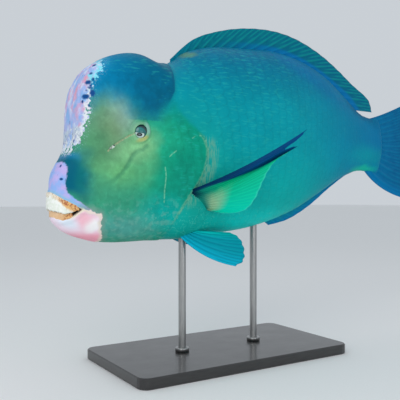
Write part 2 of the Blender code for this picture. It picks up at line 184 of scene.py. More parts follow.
lacquer = Finish("black_lacquer", Coat_Weight=0.5, Coat_Roughness=0.12)
grain = lacquer.cloud(0.004, 4, lacquer.stretched((0.12, 1.0, 1.0)))
dust = lacquer.cloud(0.05, 5)
lacquer_colour = grain.rise(0.35, 0.7).blend(paint(40, 38, 38), paint(26, 25, 26))
lacquer.wear(grain, 0.0001, lacquer_colour, 0.28 + dust * 0.14)
base_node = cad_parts["stand_base"]
base_node.data.materials.clear()
base_node.data.materials.append(lacquer.material)

# The two rods: ground steel bar, brushed lengthways, let into the base. A turned steel collar
# with rounded edges covers each hole in the lacquer.
COLLAR_RADIUS = 0.0150
COLLAR_HEIGHT = 0.0090
COLLAR_ROUND = 0.0015
ROD_RADIUS = 0.0080

steel = Finish("brushed_steel", Metallic=1.0)
brushing = steel.cloud(0.0006, 3, steel.stretched((1.0, 1.0, 0.02)))
smears = steel.cloud(0.03, 4)
steel_colour = brushing.rise(0.3, 0.7).blend(paint(176, 176, 174), paint(150, 151, 152))
steel.wear(brushing, 0.00006, steel_colour, 0.24 + smears * 0.16)


def piece(name, shape, finish, slot, *nodes):
    """Makes the finished piece of a bmesh: rides the one body and replaces the nodes. The slot is not used."""
    for face in shape.faces:
        face.smooth = True
    mesh = bpy.data.meshes.new(name)
    shape.to_mesh(mesh)
    shape.free()
    made = bpy.data.objects.new(name, mesh)
    bpy.context.scene.collection.objects.link(made)
    mesh.materials.append(finish)
    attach(made, "root")
    if nodes:
        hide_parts(*nodes)
    return made


for end in ("front", "rear"):
    rod_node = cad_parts[f"stand_rod_{end}"]
    rod_node.data.materials.clear()
    rod_node.data.materials.append(steel.material)
    low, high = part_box(f"stand_rod_{end}")
    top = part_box("stand_base")[1].z
    collar = bmesh.new()
    rounds = [
        (ROD_RADIUS, 0.0), (COLLAR_RADIUS, 0.0), (COLLAR_RADIUS, COLLAR_HEIGHT), (ROD_RADIUS, COLLAR_HEIGHT),
    ]
    corners = [collar.verts.new((radius, 0, height)) for radius, height in rounds]
    for first, second in zip(corners, corners[1:] + corners[:1]):
        collar.edges.new((first, second))
    bmesh.ops.spin(
        collar, geom=collar.verts[:] + collar.edges[:], cent=(0, 0, 0), axis=(0, 0, 1),
        angle=2 * math.pi, steps=48, use_merge=True,
    )
    bmesh.ops.recalc_face_normals(collar, faces=collar.faces)
    rims = [
        edge for edge in collar.edges
        if all(abs(v.co.z - COLLAR_HEIGHT) < 1e-6 and v.co.xy.length > ROD_RADIUS + 1e-4 for v in edge.verts)
    ]
    bmesh.ops.bevel(
        collar, geom=rims, offset=COLLAR_ROUND, segments=3, profile=0.5, affect="EDGES", material=-1
    )
    bmesh.ops.translate(collar, verts=collar.verts, vec=((low.x + high.x) / 2, 0, top))
    piece(f"stand_collar_{end}", collar, steel.material, "stand_rod")


# The skin: one sheet over the whole body, from the lips to the root of the tail, as a cast and
# painted resin skin has it. It bulges and dips at the collar of the hump, the gill cover's edge,
# the cheek fold, the nostrils, the lids and the lips, and opens for the mouth and the eyes.
RIBS = (  # back x and z; axis x and z; belly x and z; half width; squareness above and below
    (0.008, 0.078, 0.008, 0.077, 0.008, 0.076, 0.000, 2.4, 2.4),
    (0.005, 0.106, 0.020, 0.080, 0.011, 0.047, 0.023, 2.4, 2.4),
    (0.009, 0.134, 0.034, 0.091, 0.023, 0.031, 0.034, 2.8, 2.5),
    (0.024, 0.160, 0.057, 0.105, 0.043, 0.019, 0.046, 3.6, 2.6),
    (0.038, 0.188, 0.083, 0.122, 0.069, 0.010, 0.056, 4.4, 2.6),
    (0.043, 0.226, 0.111, 0.140, 0.096, 0.003, 0.063, 5.0, 2.6),
    (0.045, 0.266, 0.141, 0.160, 0.128, 0.000, 0.067, 5.0, 2.6),
    (0.054, 0.308, 0.172, 0.178, 0.162, 0.000, 0.071, 4.6, 2.6),
    (0.080, 0.348, 0.203, 0.193, 0.200, 0.001, 0.074, 4.0, 2.6),
    (0.125, 0.373, 0.235, 0.205, 0.238, 0.001, 0.077, 3.4, 2.6),
    (0.173, 0.382, 0.267, 0.213, 0.275, 0.002, 0.080, 3.0, 2.6),
    (0.219, 0.368, 0.298, 0.219, 0.308, 0.005, 0.082, 2.7, 2.5),
    (0.262, 0.378, 0.327, 0.223, 0.338, 0.009, 0.083, 2.5, 2.5),
    (0.305, 0.406, 0.358, 0.226, 0.368, 0.012, 0.084, 2.3, 2.4),
    (0.370, 0.424, 0.405, 0.229, 0.412, 0.015, 0.084, 2.2, 2.4),
    (0.450, 0.431, 0.466, 0.232, 0.468, 0.023, 0.082, 2.1, 2.3),
    (0.535, 0.436, 0.538, 0.234, 0.532, 0.038, 0.076, 2.1, 2.2),
    (0.620, 0.424, 0.615, 0.235, 0.600, 0.061, 0.065, 2.1, 2.2),
    (0.700, 0.395, 0.693, 0.236, 0.670, 0.095, 0.052, 2.1, 2.1),
    (0.770, 0.352, 0.763, 0.235, 0.745, 0.134, 0.039, 2.0, 2.0),
    (0.825, 0.315, 0.823, 0.234, 0.812, 0.159, 0.028, 2.0, 2.0),
    (0.866, 0.304, 0.868, 0.233, 0.862, 0.160, 0.019, 2.0, 2.0),
    (0.900, 0.302, 0.906, 0.232, 0.898, 0.158, 0.011, 2.0, 2.0),
    (0.918, 0.234, 0.918, 0.231, 0.918, 0.228, 0.000, 2.0, 2.0),
)
SKIN_SPOKES = 320
SKIN_RINGS = 300
RING_STEPS = ((0, 70, 220, 300), (0.0, 3.5, 12.5, 23.0))
SKIN_DEPTH = 0.0016

SCRAPE_EDGE = (
    (0.112, 0.420), (0.101, 0.361), (0.087, 0.326), (0.072, 0.310), (0.070, 0.300), (0.067, 0.277),
    (0.064, 0.254), (0.062, 0.236), (0.054, 0.211), (0.049, 0.192), (0.041, 0.182), (0.030, 0.165),
    (0.024, 0.159),
)
SNOUT_EDGE = (
    (0.022, 0.162), (0.029, 0.148), (0.028, 0.135), (0.026, 0.115), (0.030, 0.099), (0.042, 0.089),
    (0.058, 0.077), (0.075, 0.065), (0.090, 0.056),
)
JAW_EDGE = (
    (0.056, 0.068), (0.070, 0.0635), (0.086, 0.0580), (0.090, 0.050), (0.087, 0.041), (0.091, 0.029),
    (0.097, 0.012), (0.100, -0.030),
)
UPPER_LIP = ((-0.040, 0.103), (0.005, 0.098), (0.019, 0.089), (0.043, 0.0745), (0.056, 0.0685))
LOWER_LIP = (
    (0.056, 0.0670), (0.050, 0.0625), (0.044, 0.0570), (0.036, 0.0510), (0.024, 0.0470), (0.014, 0.0505),
    (0.009, 0.0580), (-0.040, 0.0620),
)
CROWN_EDGE = (
    (0.030, 0.262), (0.070, 0.272), (0.099, 0.288), (0.131, 0.281), (0.147, 0.258), (0.158, 0.245),
    (0.189, 0.243), (0.214, 0.252),
)
COLLAR = ((0.212, 0.240), (0.214, 0.264), (0.227, 0.286), (0.235, 0.302), (0.238, 0.336), (0.246, 0.400))
GILL_EDGE = (
    (0.238, 0.330), (0.246, 0.270), (0.268, 0.245), (0.281, 0.231), (0.300, 0.211), (0.309, 0.190),
    (0.308, 0.167), (0.302, 0.143), (0.289, 0.118), (0.273, 0.096), (0.260, 0.072), (0.248, 0.049),
    (0.240, 0.029), (0.233, 0.008), (0.222, -0.040),
)
CHEEK_FOLD = (
    (0.176, 0.190), (0.167, 0.183), (0.156, 0.180), (0.149, 0.174), (0.143, 0.163), (0.137, 0.152),
    (0.126, 0.137), (0.114, 0.126), (0.094, 0.117),
)
NOSE_GROOVE = ((0.098, 0.178), (0.107, 0.187), (0.121, 0.197), (0.140, 0.209), (0.150, 0.214))
NOSTRILS = ((0.1035, 0.1835, 0.0030), (0.1100, 0.1890, 0.0022))
SCRATCHES = (
    ((0.215, 0.151), (0.218, 0.133), (0.216, 0.105), (0.217, 0.080)),
    ((0.262, 0.205), (0.279, 0.214), (0.296, 0.217)), ((0.224, 0.172), (0.239, 0.184)),
)
EYE_OPENING = (0.1618, 0.2180, 0.0120, 0.0134, 26.0)  # centre x and z, half length, half height, lean


def smooth_curve(rows, places):
    """Points on a curve through the rows, at places counted in rows."""
    rows = np.asarray(rows, float)
    places = np.asarray(places, float)
    last = len(rows) - 1
    index = np.clip(np.floor(places).astype(int), 0, last - 1)
    part = (places - index)[..., None]
    before, start, end, after = (rows[np.clip(index + step, 0, last)] for step in (-1, 0, 1, 2))
    cubic = 3 * (start - end) + after - before
    square = 2 * before - 5 * start + 4 * end - after
    return start + 0.5 * part * (end - before + part * (square + part * cubic))


def body_points(places, angles):
    """Places on the modelled body, in the fish frame: angle -90 degrees is the belly, 0 the left side."""
    rib = smooth_curve(RIBS, places)
    back, axis, belly = rib[:, 0:2], rib[:, 2:4], rib[:, 4:6]
    rise, across = np.sin(angles), np.cos(angles)
    power = np.where(rise > 0, rib[:, 7], rib[:, 8])
    swell = (np.abs(rise) ** power + np.abs(across) ** power) ** (-1 / power)
    height = (rise * swell)[:, None]
    flat = axis + height * (back - belly) / 2 + height**2 * ((back + belly) / 2 - axis)
    return np.stack([flat[:, 0], -rib[:, 6] * across * swell, flat[:, 1]], axis=1)


def spaced_angles(place, count, crowded=0.0):
    """Angles from belly to back that lie evenly along the skin, closer round the eye if crowded."""
    angles = np.linspace(-math.pi / 2, math.pi / 2, 361)
    points = body_points(np.full(len(angles), place), angles)
    middles = (points[1:] + points[:-1]) / 2
    off = np.hypot(middles[:, 0] - EYE_OPENING[0], middles[:, 2] - EYE_OPENING[1])
    steps = np.linalg.norm(np.diff(points, axis=0), axis=1) * (1 + crowded * np.exp(-((off / 0.032) ** 2)))
    run = np.concatenate([[0.0], np.cumsum(steps + 1e-9)])
    return np.interp(np.linspace(0, run[-1], count + 1), run, angles)


def off_line(points, line):
    """How far each point of the side view is from the line."""
    flat = points[:, (0, 2)]
    best = np.full(len(flat), 1e9)
    for start, end in zip(np.array(line[:-1]), np.array(line[1:])):
        way = end - start
        part = np.clip((flat - start) @ way / (way @ way), 0, 1)
        best = np.minimum(best, np.linalg.norm(flat - start - part[:, None] * way, axis=1))
    return best


def within(points, line, *corners):
    """How deep each point of the side view is inside the area that the line and the corners enclose,
    measured from the line alone. Outside it is negative."""
    flat = points[:, (0, 2)]
    outline = np.array([*line, *corners])
    inside = np.zeros(len(flat), bool)
    for start, end in zip(outline, np.roll(outline, -1, axis=0)):
        if start[1] != end[1]:
            level = (flat[:, 1] > start[1]) != (flat[:, 1] > end[1])
            cross = start[0] + (flat[:, 1] - start[1]) * (end[0] - start[0]) / (end[1] - start[1])
            inside ^= level & (flat[:, 0] < cross)
    return np.where(inside, 1, -1) * off_line(points, line)


def ramp(values, low, high):
    """0 at low, 1 at high and smooth between."""
    part = np.clip((values - low) / (high - low), 0, 1)
    return part * part * (3 - 2 * part)


def dent(values, width):
    return np.exp(-((values / width) ** 2))


def eye_share(points):
    """How far out each point of the side view is from the eye opening's centre: 1 is its edge."""
    x, z, half_length, half_height, lean = EYE_OPENING
    lean = math.radians(lean)
    along = (points[:, 0] - x) * math.cos(lean) - (points[:, 2] - z) * math.sin(lean)
    up = (points[:, 0] - x) * math.sin(lean) + (points[:, 2] - z) * math.cos(lean)
    return np.hypot(along / half_length, up / half_height)


def marks(points):
    """What the finish and the relief read: how deep a point is in each area of the head."""
    lips = (*UPPER_LIP, *LOWER_LIP)
    return {
        "scrape": within(points, SCRAPE_EDGE, (-0.1, 0.159), (-0.1, 0.420)),
        "snout": within(points, SNOUT_EDGE, (0.056, 0.060), (-0.1, 0.060), (-0.1, 0.162)),
        "jaw": within(points, JAW_EDGE, (-0.1, -0.030), (-0.1, 0.068)),
        "mouth": within(points, lips),
        "crown": within(points, CROWN_EDGE, (0.5, 0.252), (0.5, 0.5), (-0.1, 0.5), (-0.1, 0.262)),
        "collar": within(points, COLLAR, (-0.1, 0.400), (-0.1, 0.240)),
        "gill": within(points, GILL_EDGE, (-0.1, -0.040), (-0.1, 0.330)),
        "fold": off_line(points, CHEEK_FOLD),
        "groove": off_line(points, NOSE_GROOVE),
        "scratch": np.min([off_line(points, line) for line in SCRATCHES], axis=0),
        "eye": eye_share(points),
    }


def relief(points, mark):
    """How far the skin stands out of the modelled body's surface at each point."""
    x, y, z = points.T
    eye = mark["eye"]
    on_collar = ramp(z, 0.252, 0.300)
    collar = 0.0022 * ramp(mark["collar"], -0.004, 0.007) * ramp(mark["collar"], 0.045, 0.012)
    collar -= 0.0016 * ramp(-mark["collar"], 0.000, 0.005) * ramp(mark["collar"], -0.030, -0.006)
    on_gill = ramp(z, 0.250, 0.205) * (0.35 + 0.65 * ramp(z, 0.050, 0.110))
    gill = 0.0014 * ramp(mark["gill"], -0.0020, 0.0030) * ramp(mark["gill"], 0.030, 0.008)
    gill -= 0.0022 * ramp(-mark["gill"], -0.001, 0.0030) * ramp(mark["gill"], -0.035, -0.010)
    out = collar * on_collar + gill * on_gill
    out -= 0.0011 * dent(mark["fold"], 0.0030) * ramp(x, 0.090, 0.125)
    out += 0.0011 * dent(mark["fold"] - 0.008, 0.007) * ramp(x, 0.096, 0.125)
    out -= 0.0014 * dent(mark["groove"], 0.0018)
    out += 0.0006 * dent(mark["groove"] - 0.004, 0.002)
    for nostril_x, nostril_z, radius in NOSTRILS:
        off = np.hypot(x - nostril_x, z - nostril_z)
        out += 0.0012 * dent(off - radius * 1.5, radius * 0.6) - 0.0030 * dent(off, radius * 0.8)
    out += 0.0024 * ramp(mark["mouth"], -0.012, -0.002) - 0.0170 * ramp(mark["mouth"], -0.0006, 0.0044)
    out += 0.0010 * ramp(mark["jaw"], -0.0040, 0.0020)
    out += 0.0008 * ramp(mark["snout"], -0.0030, 0.0010) - 0.0010 * ramp(mark["scrape"], -0.001, 0.002)
    lid = 0.0042 * ramp(eye, 1.75, 1.06) + 0.0016 * dent(eye - 1.55, 0.12) - 0.0014 * dent(eye - 1.85, 0.12)
    out += lid - 0.0130 * ramp(eye, 1.0, 0.84)
    rough = np.array([noise.fractal(Vector(p) * 90, 0.9, 2.0, 4) for p in points[x < 0.13]])
    out[x < 0.13] += 0.0006 * rough * (0.25 + ramp(mark["scrape"][x < 0.13], 0.0, 0.004))
    crease = np.interp(z, (0.259, 0.273, 0.293, 0.310), (-0.043, -0.038, -0.033, -0.024)) - y
    out -= 0.0022 * dent(crease, 0.0028) * ramp(z, 0.250, 0.268) * ramp(z, 0.322, 0.304) * (x < 0.09)
    return out


def skin_points(places, angles):
    """Places on the skin, with its relief, and the way out of it."""
    points = body_points(places, angles)
    along = body_points(places + 0.01, angles) - body_points(places - 0.01, angles)
    round_it = body_points(places, angles + 0.01) - body_points(places, angles - 0.01)
    out = np.cross(along, round_it)
    out /= np.maximum(np.linalg.norm(out, axis=1), 1e-12)[:, None]
    out[places < 0.02] = (-1, 0, 0)
    out[places > 22.98] = (1, 0, 0)
    return points, out


def mark_mesh(mesh, mark):
    for name, values in mark.items():
        layer = mesh.attributes.new(name, "FLOAT", "POINT")
        layer.data.foreach_set("value", values.astype(np.float32))

skin = bmesh.new()
bmesh.ops.create_uvsphere(skin, u_segments=SKIN_SPOKES, v_segments=SKIN_RINGS, radius=1.0)
unit = np.array([vert.co for vert in skin.verts])
ring = np.rint(np.arccos(np.clip(unit[:, 2], -1, 1)) / math.pi * SKIN_RINGS).astype(int)
spoke = np.rint(np.arctan2(unit[:, 1], unit[:, 0]) / (2 * math.pi) * SKIN_SPOKES).astype(int) % SKIN_SPOKES
ring_places = np.interp(np.arange(SKIN_RINGS + 1), *RING_STEPS)
half_angles = np.array([spaced_angles(place, SKIN_SPOKES // 2, 2.5) for place in ring_places])
on_left = spoke <= SKIN_SPOKES // 2
angles = half_angles[ring, np.where(on_left, spoke, SKIN_SPOKES - spoke)]
surface, outwards = skin_points(ring_places[ring], np.where(on_left, angles, math.pi - angles))
skin_marks = marks(surface)
depth = relief(surface, skin_marks) - SKIN_DEPTH
for vert, point in zip(skin.verts, surface + outwards * depth[:, None] + FISH_ORIGIN):
    vert.co = point
bmesh.ops.recalc_face_normals(skin, faces=skin.faces)
bake_map = skin.loops.layers.uv.new("OFBake")
for face in skin.faces:
    spokes = [int(spoke[loop.vert.index]) for loop in face.loops]
    rings = [int(ring[loop.vert.index]) for loop in face.loops]
    if max(spokes) - min(spokes) > SKIN_SPOKES // 2:
        spokes = [value + SKIN_SPOKES * (value < SKIN_SPOKES // 2) for value in spokes]
    body = [value for value, row in zip(spokes, rings) if 0 < row < SKIN_RINGS]
    for loop, value, row in zip(face.loops, spokes, rings):
        value = value if 0 < row < SKIN_RINGS else sum(body) / len(body)
        loop[bake_map].uv = (value / SKIN_SPOKES, row / SKIN_RINGS)

def side_of(x, z):
    """How far from the middle plane the body's surface is at this place of the side view."""
    return abs(surface[np.argmin(np.hypot(surface[:, 0] - x, surface[:, 2] - z)), 1])


hide = Finish("painted_skin", Coat_Weight=0.01, Coat_Roughness=0.30, Specular_IOR_Level=0.05)
x, z = hide.axis(0), hide.axis(2)
loose = hide.warped(0.035, 0.020)
patchy = hide.cloud(0.060, 5)
fine = hide.cloud(0.006, 4)
grit = hide.cloud(0.0022, 3)
scrape, snout, jaw = hide.read("scrape"), hide.read("snout"), hide.read("jaw")
mouth, crown, collar = hide.read("mouth"), hide.read("crown"), hide.read("collar")
gill, fold, groove = hide.read("gill"), hide.read("fold"), hide.read("groove")
eye_out, scratch = hide.read("eye"), hide.read("scratch")
uneven = (fine - 0.5) * 0.010 + (grit - 0.5) * 0.004

tone = z.rise(0.05, 0.27).blend(paint(4, 178, 172), paint(1, 152, 166))
# The lower belly is painted lighter: a painted pool of light standing in for light from below.
tone = (z.rise(0.085, 0.030) * x.rise(0.20, 0.26)).blend(tone, paint(6, 216, 208))
tone = z.rise(0.26, 0.42).blend(tone, paint(0, 110, 146))
tone = x.rise(0.50, 0.94).blend(tone, paint(0, 116, 164))
behind_gill = x.rise(0.42, 0.27) * z.rise(0.33, 0.15)
tone = behind_gill.blend(tone, paint(12, 158, 146))
face = (gill + (patchy - 0.5) * 0.03).rise(-0.0060, 0.0060) * (z + (patchy - 0.5) * 0.06).rise(0.290, 0.220)
tone = face.blend(tone, x.rise(0.17, 0.24).blend(paint(52, 164, 124), paint(4, 152, 124)))
PATCHES = (  # x, z, half length, half height, lean, softness, share, colour
    (0.830, 0.310, 0.060, 0.014, -20, 0.9, 0.8, (2, 90, 126)),
    (0.838, 0.166, 0.042, 0.010, 4, 0.8, 0.9, (22, 190, 158)),
    (0.840, 0.200, 0.070, 0.024, 0, 0.9, 0.7, (2, 156, 166)),
    (0.295, 0.391, 0.012, 0.0055, 10, 0.7, 0.75, (96, 142, 112)),
    (0.600, 0.400, 0.150, 0.025, -28, 0.9, 0.6, (4, 110, 166)),
    (0.212, 0.208, 0.040, 0.030, 0, 0.9, 0.8, (30, 170, 132)),
    (0.200, 0.140, 0.036, 0.040, 20, 0.9, 0.7, (18, 176, 130)),
    (0.240, 0.110, 0.050, 0.050, 0, 0.9, 0.7, (12, 142, 120)),
    (0.222, 0.054, 0.060, 0.034, -10, 0.8, 0.9, (8, 176, 166)),
    (0.135, 0.034, 0.070, 0.028, -8, 0.8, 0.9, (80, 162, 152)),
    (0.118, 0.160, 0.062, 0.048, 35, 0.7, 0.9, (112, 192, 124)),
    (0.168, 0.160, 0.026, 0.034, 10, 0.8, 0.8, (86, 174, 124)),
    (0.070, 0.112, 0.034, 0.034, 0, 0.8, 0.8, (72, 158, 120)),
    (0.118, 0.090, 0.045, 0.030, 0, 0.9, 0.7, (58, 152, 122)),
    (0.098, 0.226, 0.050, 0.064, 18, 0.7, 0.95, (106, 156, 122)),
    (0.124, 0.246, 0.020, 0.030, 20, 0.9, 0.7, (150, 186, 172)),
    (0.104, 0.212, 0.022, 0.030, 0, 0.9, 0.6, (128, 160, 116)),
    (0.076, 0.190, 0.030, 0.030, 0, 0.8, 0.8, (80, 146, 104)),
    (0.160, 0.190, 0.034, 0.022, 30, 0.9, 0.9, (136, 200, 142)),
    (0.048, 0.128, 0.019, 0.042, 12, 0.9, 1.0, (6, 110, 122)),
    (0.050, 0.170, 0.020, 0.016, 0, 0.8, 0.9, (60, 136, 118)),
)
for patch_x, patch_z, long, high, lean, soft, share, colour in PATCHES:
    mask = hide.blob(patch_x, patch_z, long, high, lean, soft, loose)
    tone = (mask * share).blend(tone, paint(*colour))
behind = collar.rise(0.0020, -0.0020) * z.rise(0.262, 0.300) + collar.rise(0.020, -0.012) * z.rise(0.300, 0.262)
crown_mask = (crown + uneven + (patchy - 0.5) * 0.05).rise(-0.030, 0.030) * (1 - behind)
tone = crown_mask.blend(tone, x.rise(0.06, 0.22).blend(paint(0, 130, 176), paint(0, 98, 130)))
tone = (patchy.rise(0.35, 0.65) * 0.30).blend(tone, tone.shade(1.25))
mottle = hide.cloud(0.016, 5)
tone = (mottle.rise(0.40, 0.66) * gill.rise(-0.01, 0.02) * 0.40).blend(tone, tone.shade(0.68))
freckles = hide.cloud(0.009, 4, hide.warped(0.02, 0.01)).rise(0.50, 0.66) * gill.rise(0.0, 0.02)
tone = (freckles * 0.30).blend(tone, tone.shade(1.32))
bloom = hide.cloud(0.007, 3, hide.stretched((0.6, 1.0, 0.6))).rise(0.48, 0.66) * z.rise(0.11, 0.05)
tone = (bloom * gill.rise(-0.01, 0.01) * 0.30).blend(tone, paint(132, 190, 172))

# What marks the surface: scale dashes painted as glints, scratches, the folds' painted shade, the pale gill seam.
dashes = hide.cloud(0.0040, 2, hide.stretched((0.22, 1.0, 1.0)))
ripples = hide.cloud(0.0034, 2, hide.stretched((1.0, 1.0, 0.16)))
# Painted glints: light dashes along the scale rows, on the trunk and on the face.
glints = dashes.rise(0.52, 0.70) * gill.rise(0.004, -0.006) * x.rise(0.75, 0.40)
glints = glints + dashes.rise(0.58, 0.74) * gill.rise(0.0, 0.01) * x.rise(0.185, 0.215)
tone = (glints * 0.24).blend(tone, paint(50, 196, 176))
tone = (ripples.rise(0.55, 0.75) * x.rise(0.42, 0.60) * 0.22).blend(tone, paint(40, 168, 176))
tone = (scratch.rise(0.0020, 0.0004) * fine.rise(0.30, 0.50) * 0.90).blend(tone, paint(120, 200, 160))
at_gill = gill + uneven
seam = at_gill.rise(-0.0060, -0.0010) * at_gill.rise(0.0050, 0.0010) * z.rise(0.225, 0.205) * z.rise(0.030, 0.060)
tone = (seam * fine.rise(0.30, 0.60) * 0.75).blend(tone, paint(120, 200, 162))
nets = (hide.cloud(0.014, 2, hide.warped(0.02, 0.012)) - 0.5).math("ABSOLUTE").rise(0.022, 0.006)
breast = gill.rise(-0.002, -0.012) * z.rise(0.095, 0.045) * x.rise(0.44, 0.30)
breast = breast + jaw.rise(-0.05, -0.09) * z.rise(0.09, 0.03)
tone = (nets * breast.math("MINIMUM", 1.0) * fine.rise(0.42, 0.56) * 0.26).blend(tone, paint(110, 226, 200))
base_skin = at_gill.rise(-0.034, -0.014) * at_gill.rise(0.001, -0.004) * z.rise(0.222, 0.200) * z.rise(0.060, 0.090)
tone = (base_skin * ripples.rise(0.38, 0.60) * 0.70).blend(tone, paint(112, 178, 148))
# Painted shade: the cheek fold darkened along its crease.
tone = ((fold + uneven * 0.5).rise(0.0072, 0.0004) * x.rise(0.090, 0.125) * 0.42).blend(tone, paint(26, 112, 92))
# The nose groove: a pale painted highlight along it, and painted shade down its middle.
tone = (groove.rise(0.0022, 0.0010) * fine.rise(0.30, 0.55) * 0.6).blend(tone, paint(190, 188, 150))
tone = (groove.rise(0.0009, 0.0002) * 0.6).blend(tone, paint(96, 112, 96))
# Painted shade: the nostril pits darkened inside.
for nostril_x, nostril_z, radius in NOSTRILS:
    mask = hide.blob(nostril_x, nostril_z, radius * 0.8, radius * 0.7, 30, 0.5)
    tone = mask.blend(tone, paint(8, 50, 44))
# A white painted highlight by the nostrils.
flap_x, flap_z = ((NOSTRILS[0][side] + NOSTRILS[1][side]) / 2 for side in (0, 1))
nostril_highlight = hide.blob(flap_x, flap_z, 0.0060, 0.0022, 32, 0.5)
tone = (nostril_highlight * fine.rise(0.35, 0.55)).blend(tone, paint(236, 244, 240))

# The scraped front of the hump, the bare lips and the pink and white lower jaw.
ragged = hide.cells(0.0085, hide.warped(0.012, 0.008)) * -0.014 + (fine - 0.5) * 0.007 + 0.0050
raw_edge = scrape + ragged
raw = raw_edge.rise(-0.0006, 0.0008)
streaks = hide.cloud(0.020, 3, hide.stretched((1.0, 1.0, 0.80)))
raw_tone = streaks.rise(0.38, 0.58).blend(paint(142, 186, 236), paint(188, 190, 236))
raw_tone = (hide.cloud(0.026, 3).rise(0.48, 0.60) * z.rise(0.215, 0.250) * 0.60).blend(raw_tone, paint(226, 166, 196))
PINKS = (
    (0.053, 0.254, 0.008, 0.007), (0.063, 0.318, 0.006, 0.016), (0.049, 0.292, 0.007, 0.014),
    (0.047, 0.225, 0.005, 0.010),
)
around = hide.place.node("ShaderNodeVectorMath", {"operation": "ABSOLUTE"}, {0: loose})
for pink_x, pink_z, long, high in PINKS:
    mask = hide.blob(pink_x, pink_z, long, high, 0, 0.8, around, side_of(pink_x, pink_z))
    raw_tone = (mask * 0.75).blend(raw_tone, paint(236, 158, 178))
raw_tone = (streaks.rise(0.52, 0.64) * 0.85).blend(raw_tone, paint(206, 228, 248))
# Painted shadow: grey streaks along the lower part of the scrape's ragged edge.
scrape_edge_shadow = raw_edge.rise(0.020, 0.004) * z.rise(0.250, 0.200) * streaks.rise(0.44, 0.56)
raw_tone = (scrape_edge_shadow * 0.7).blend(raw_tone, paint(122, 138, 150))
pale_rim = raw_edge.rise(0.012, 0.004) * (fine * 0.6 + grit * 0.4).rise(0.40, 0.52)
raw_tone = pale_rim.blend(raw_tone, z.rise(0.285, 0.315).blend(paint(226, 232, 236), paint(128, 224, 240)))
tone = (scrape.rise(-0.012, -0.002) * grit.rise(0.56, 0.66) * 0.7).blend(tone, paint(150, 190, 196))
tone = raw.blend(tone, raw_tone)
worn_top = (scrape + (fine - 0.5) * 0.02).rise(0.004, -0.004) * z.rise(0.33, 0.352) * x.rise(0.12, 0.08)
tone = (worn_top * 0.7).blend(tone, paint(60, 160, 206))
tone = (hide.blob(0.027, 0.158, 0.022, 0.011, 30, 0.6, loose) * 0.9).blend(tone, paint(30, 136, 196))
snout_teal = snout.rise(-0.036, -0.012) * z.rise(0.092, 0.112) * z.rise(0.176, 0.158)
tone = snout_teal.blend(tone, snout.rise(-0.030, -0.006).blend(paint(16, 122, 120), paint(2, 100, 124)))
snout_mask = (snout + uneven * 0.5).rise(-0.0012, 0.0020)
snout_tone = hide.cloud(0.026, 3).rise(0.42, 0.62).blend(paint(150, 184, 242), paint(196, 182, 236))
# A light blue painted highlight along the upper lip by the mouth.
snout_tone = mouth.rise(-0.010, -0.003).blend(snout_tone, paint(146, 192, 226))
snout_tone = (x.rise(0.052, 0.080) * 0.7).blend(snout_tone, paint(168, 160, 206))
tone = snout_mask.blend(tone, snout_tone)
SPOTS = (
    (0.0620, 0.3070, 0.0066, 0.0038), (0.0570, 0.2790, 0.0062, 0.0040), (0.0700, 0.3260, 0.0036, 0.0026),
    (0.0800, 0.3440, 0.0046, 0.0030), (0.0590, 0.2910, 0.0026, 0.0022), (0.0450, 0.2580, 0.0020, 0.0048),
    (0.0430, 0.2350, 0.0022, 0.0044), (0.0440, 0.2240, 0.0018, 0.0036), (0.0420, 0.2100, 0.0020, 0.0030),
    (0.0680, 0.2860, 0.0044, 0.0052), (0.0660, 0.3000, 0.0026, 0.0018), (0.0540, 0.2480, 0.0026, 0.0018),
    (0.0200, 0.1500, 0.0022, 0.0020), (0.0190, 0.1250, 0.0028, 0.0020), (0.0640, 0.2960, 0.0040, 0.0024),
    (0.0720, 0.3150, 0.0030, 0.0040), (0.0620, 0.2620, 0.0022, 0.0030), (0.0560, 0.2220, 0.0026, 0.0018),
    (0.0410, 0.1960, 0.0024, 0.0026), (0.0350, 0.1820, 0.0020, 0.0022), (0.0520, 0.2700, 0.0026, 0.0030),
)
around = hide.warped(0.006, 0.004)
around = around.node("ShaderNodeVectorMath", {"operation": "ABSOLUTE"}, {0: around})
for spot_x, spot_z, long, high in SPOTS:
    mask = hide.blob(spot_x, spot_z, long * 1.25, high * 1.35, 0, 0.35, around, side_of(spot_x, spot_z))
    tone = mask.blend(tone, paint(18, 76, 140))
specks = hide.cells(0.0085).rise(0.16, 0.08) * (raw + snout_mask * 0.6) * patchy.rise(0.48, 0.56)
tone = (specks * 0.8).blend(tone, paint(34, 84, 150))
lobes = (hide.cloud(0.012, 2) - 0.5) * 0.012
jaw_mask = (jaw + lobes + uneven * 0.5).rise(-0.0034, -0.0010)
# Painted shadow: a grey band behind the jaw's raised rear edge.
tone = ((jaw + lobes).rise(-0.0160, -0.0010) * 0.75).blend(tone, paint(128, 158, 148))
jaw_tone = z.rise(0.014, 0.030).blend(paint(252, 172, 190), paint(248, 222, 236))
jaw_tone = (hide.blob(0.062, 0.050, 0.013, 0.020, 40, 0.7, loose) * 0.8).blend(jaw_tone, paint(252, 188, 202))
jaw_tone = (hide.blob(0.078, 0.038, 0.014, 0.011, 0, 0.6, loose) * 0.9).blend(jaw_tone, paint(254, 254, 254))
jaw_tone = (hide.blob(0.030, 0.045, 0.020, 0.009, -30, 0.7) * 0.9).blend(jaw_tone, paint(226, 240, 252))
jaw_tone = ((jaw + lobes).rise(0.0060, 0.0010) * 0.8).blend(jaw_tone, paint(240, 226, 210))
tone = jaw_mask.blend(tone, jaw_tone)
lip_share = mouth.rise(-0.0040, -0.0006) * z.rise(0.075, 0.068) * x.rise(0.026, 0.044) * 0.8
tone = lip_share.blend(tone, paint(240, 234, 208))
# Painted shade: the inside of the mouth, between the lips and the beak, painted dark brown.
tone = mouth.rise(0.0006, 0.0040).blend(tone, paint(70, 52, 50))

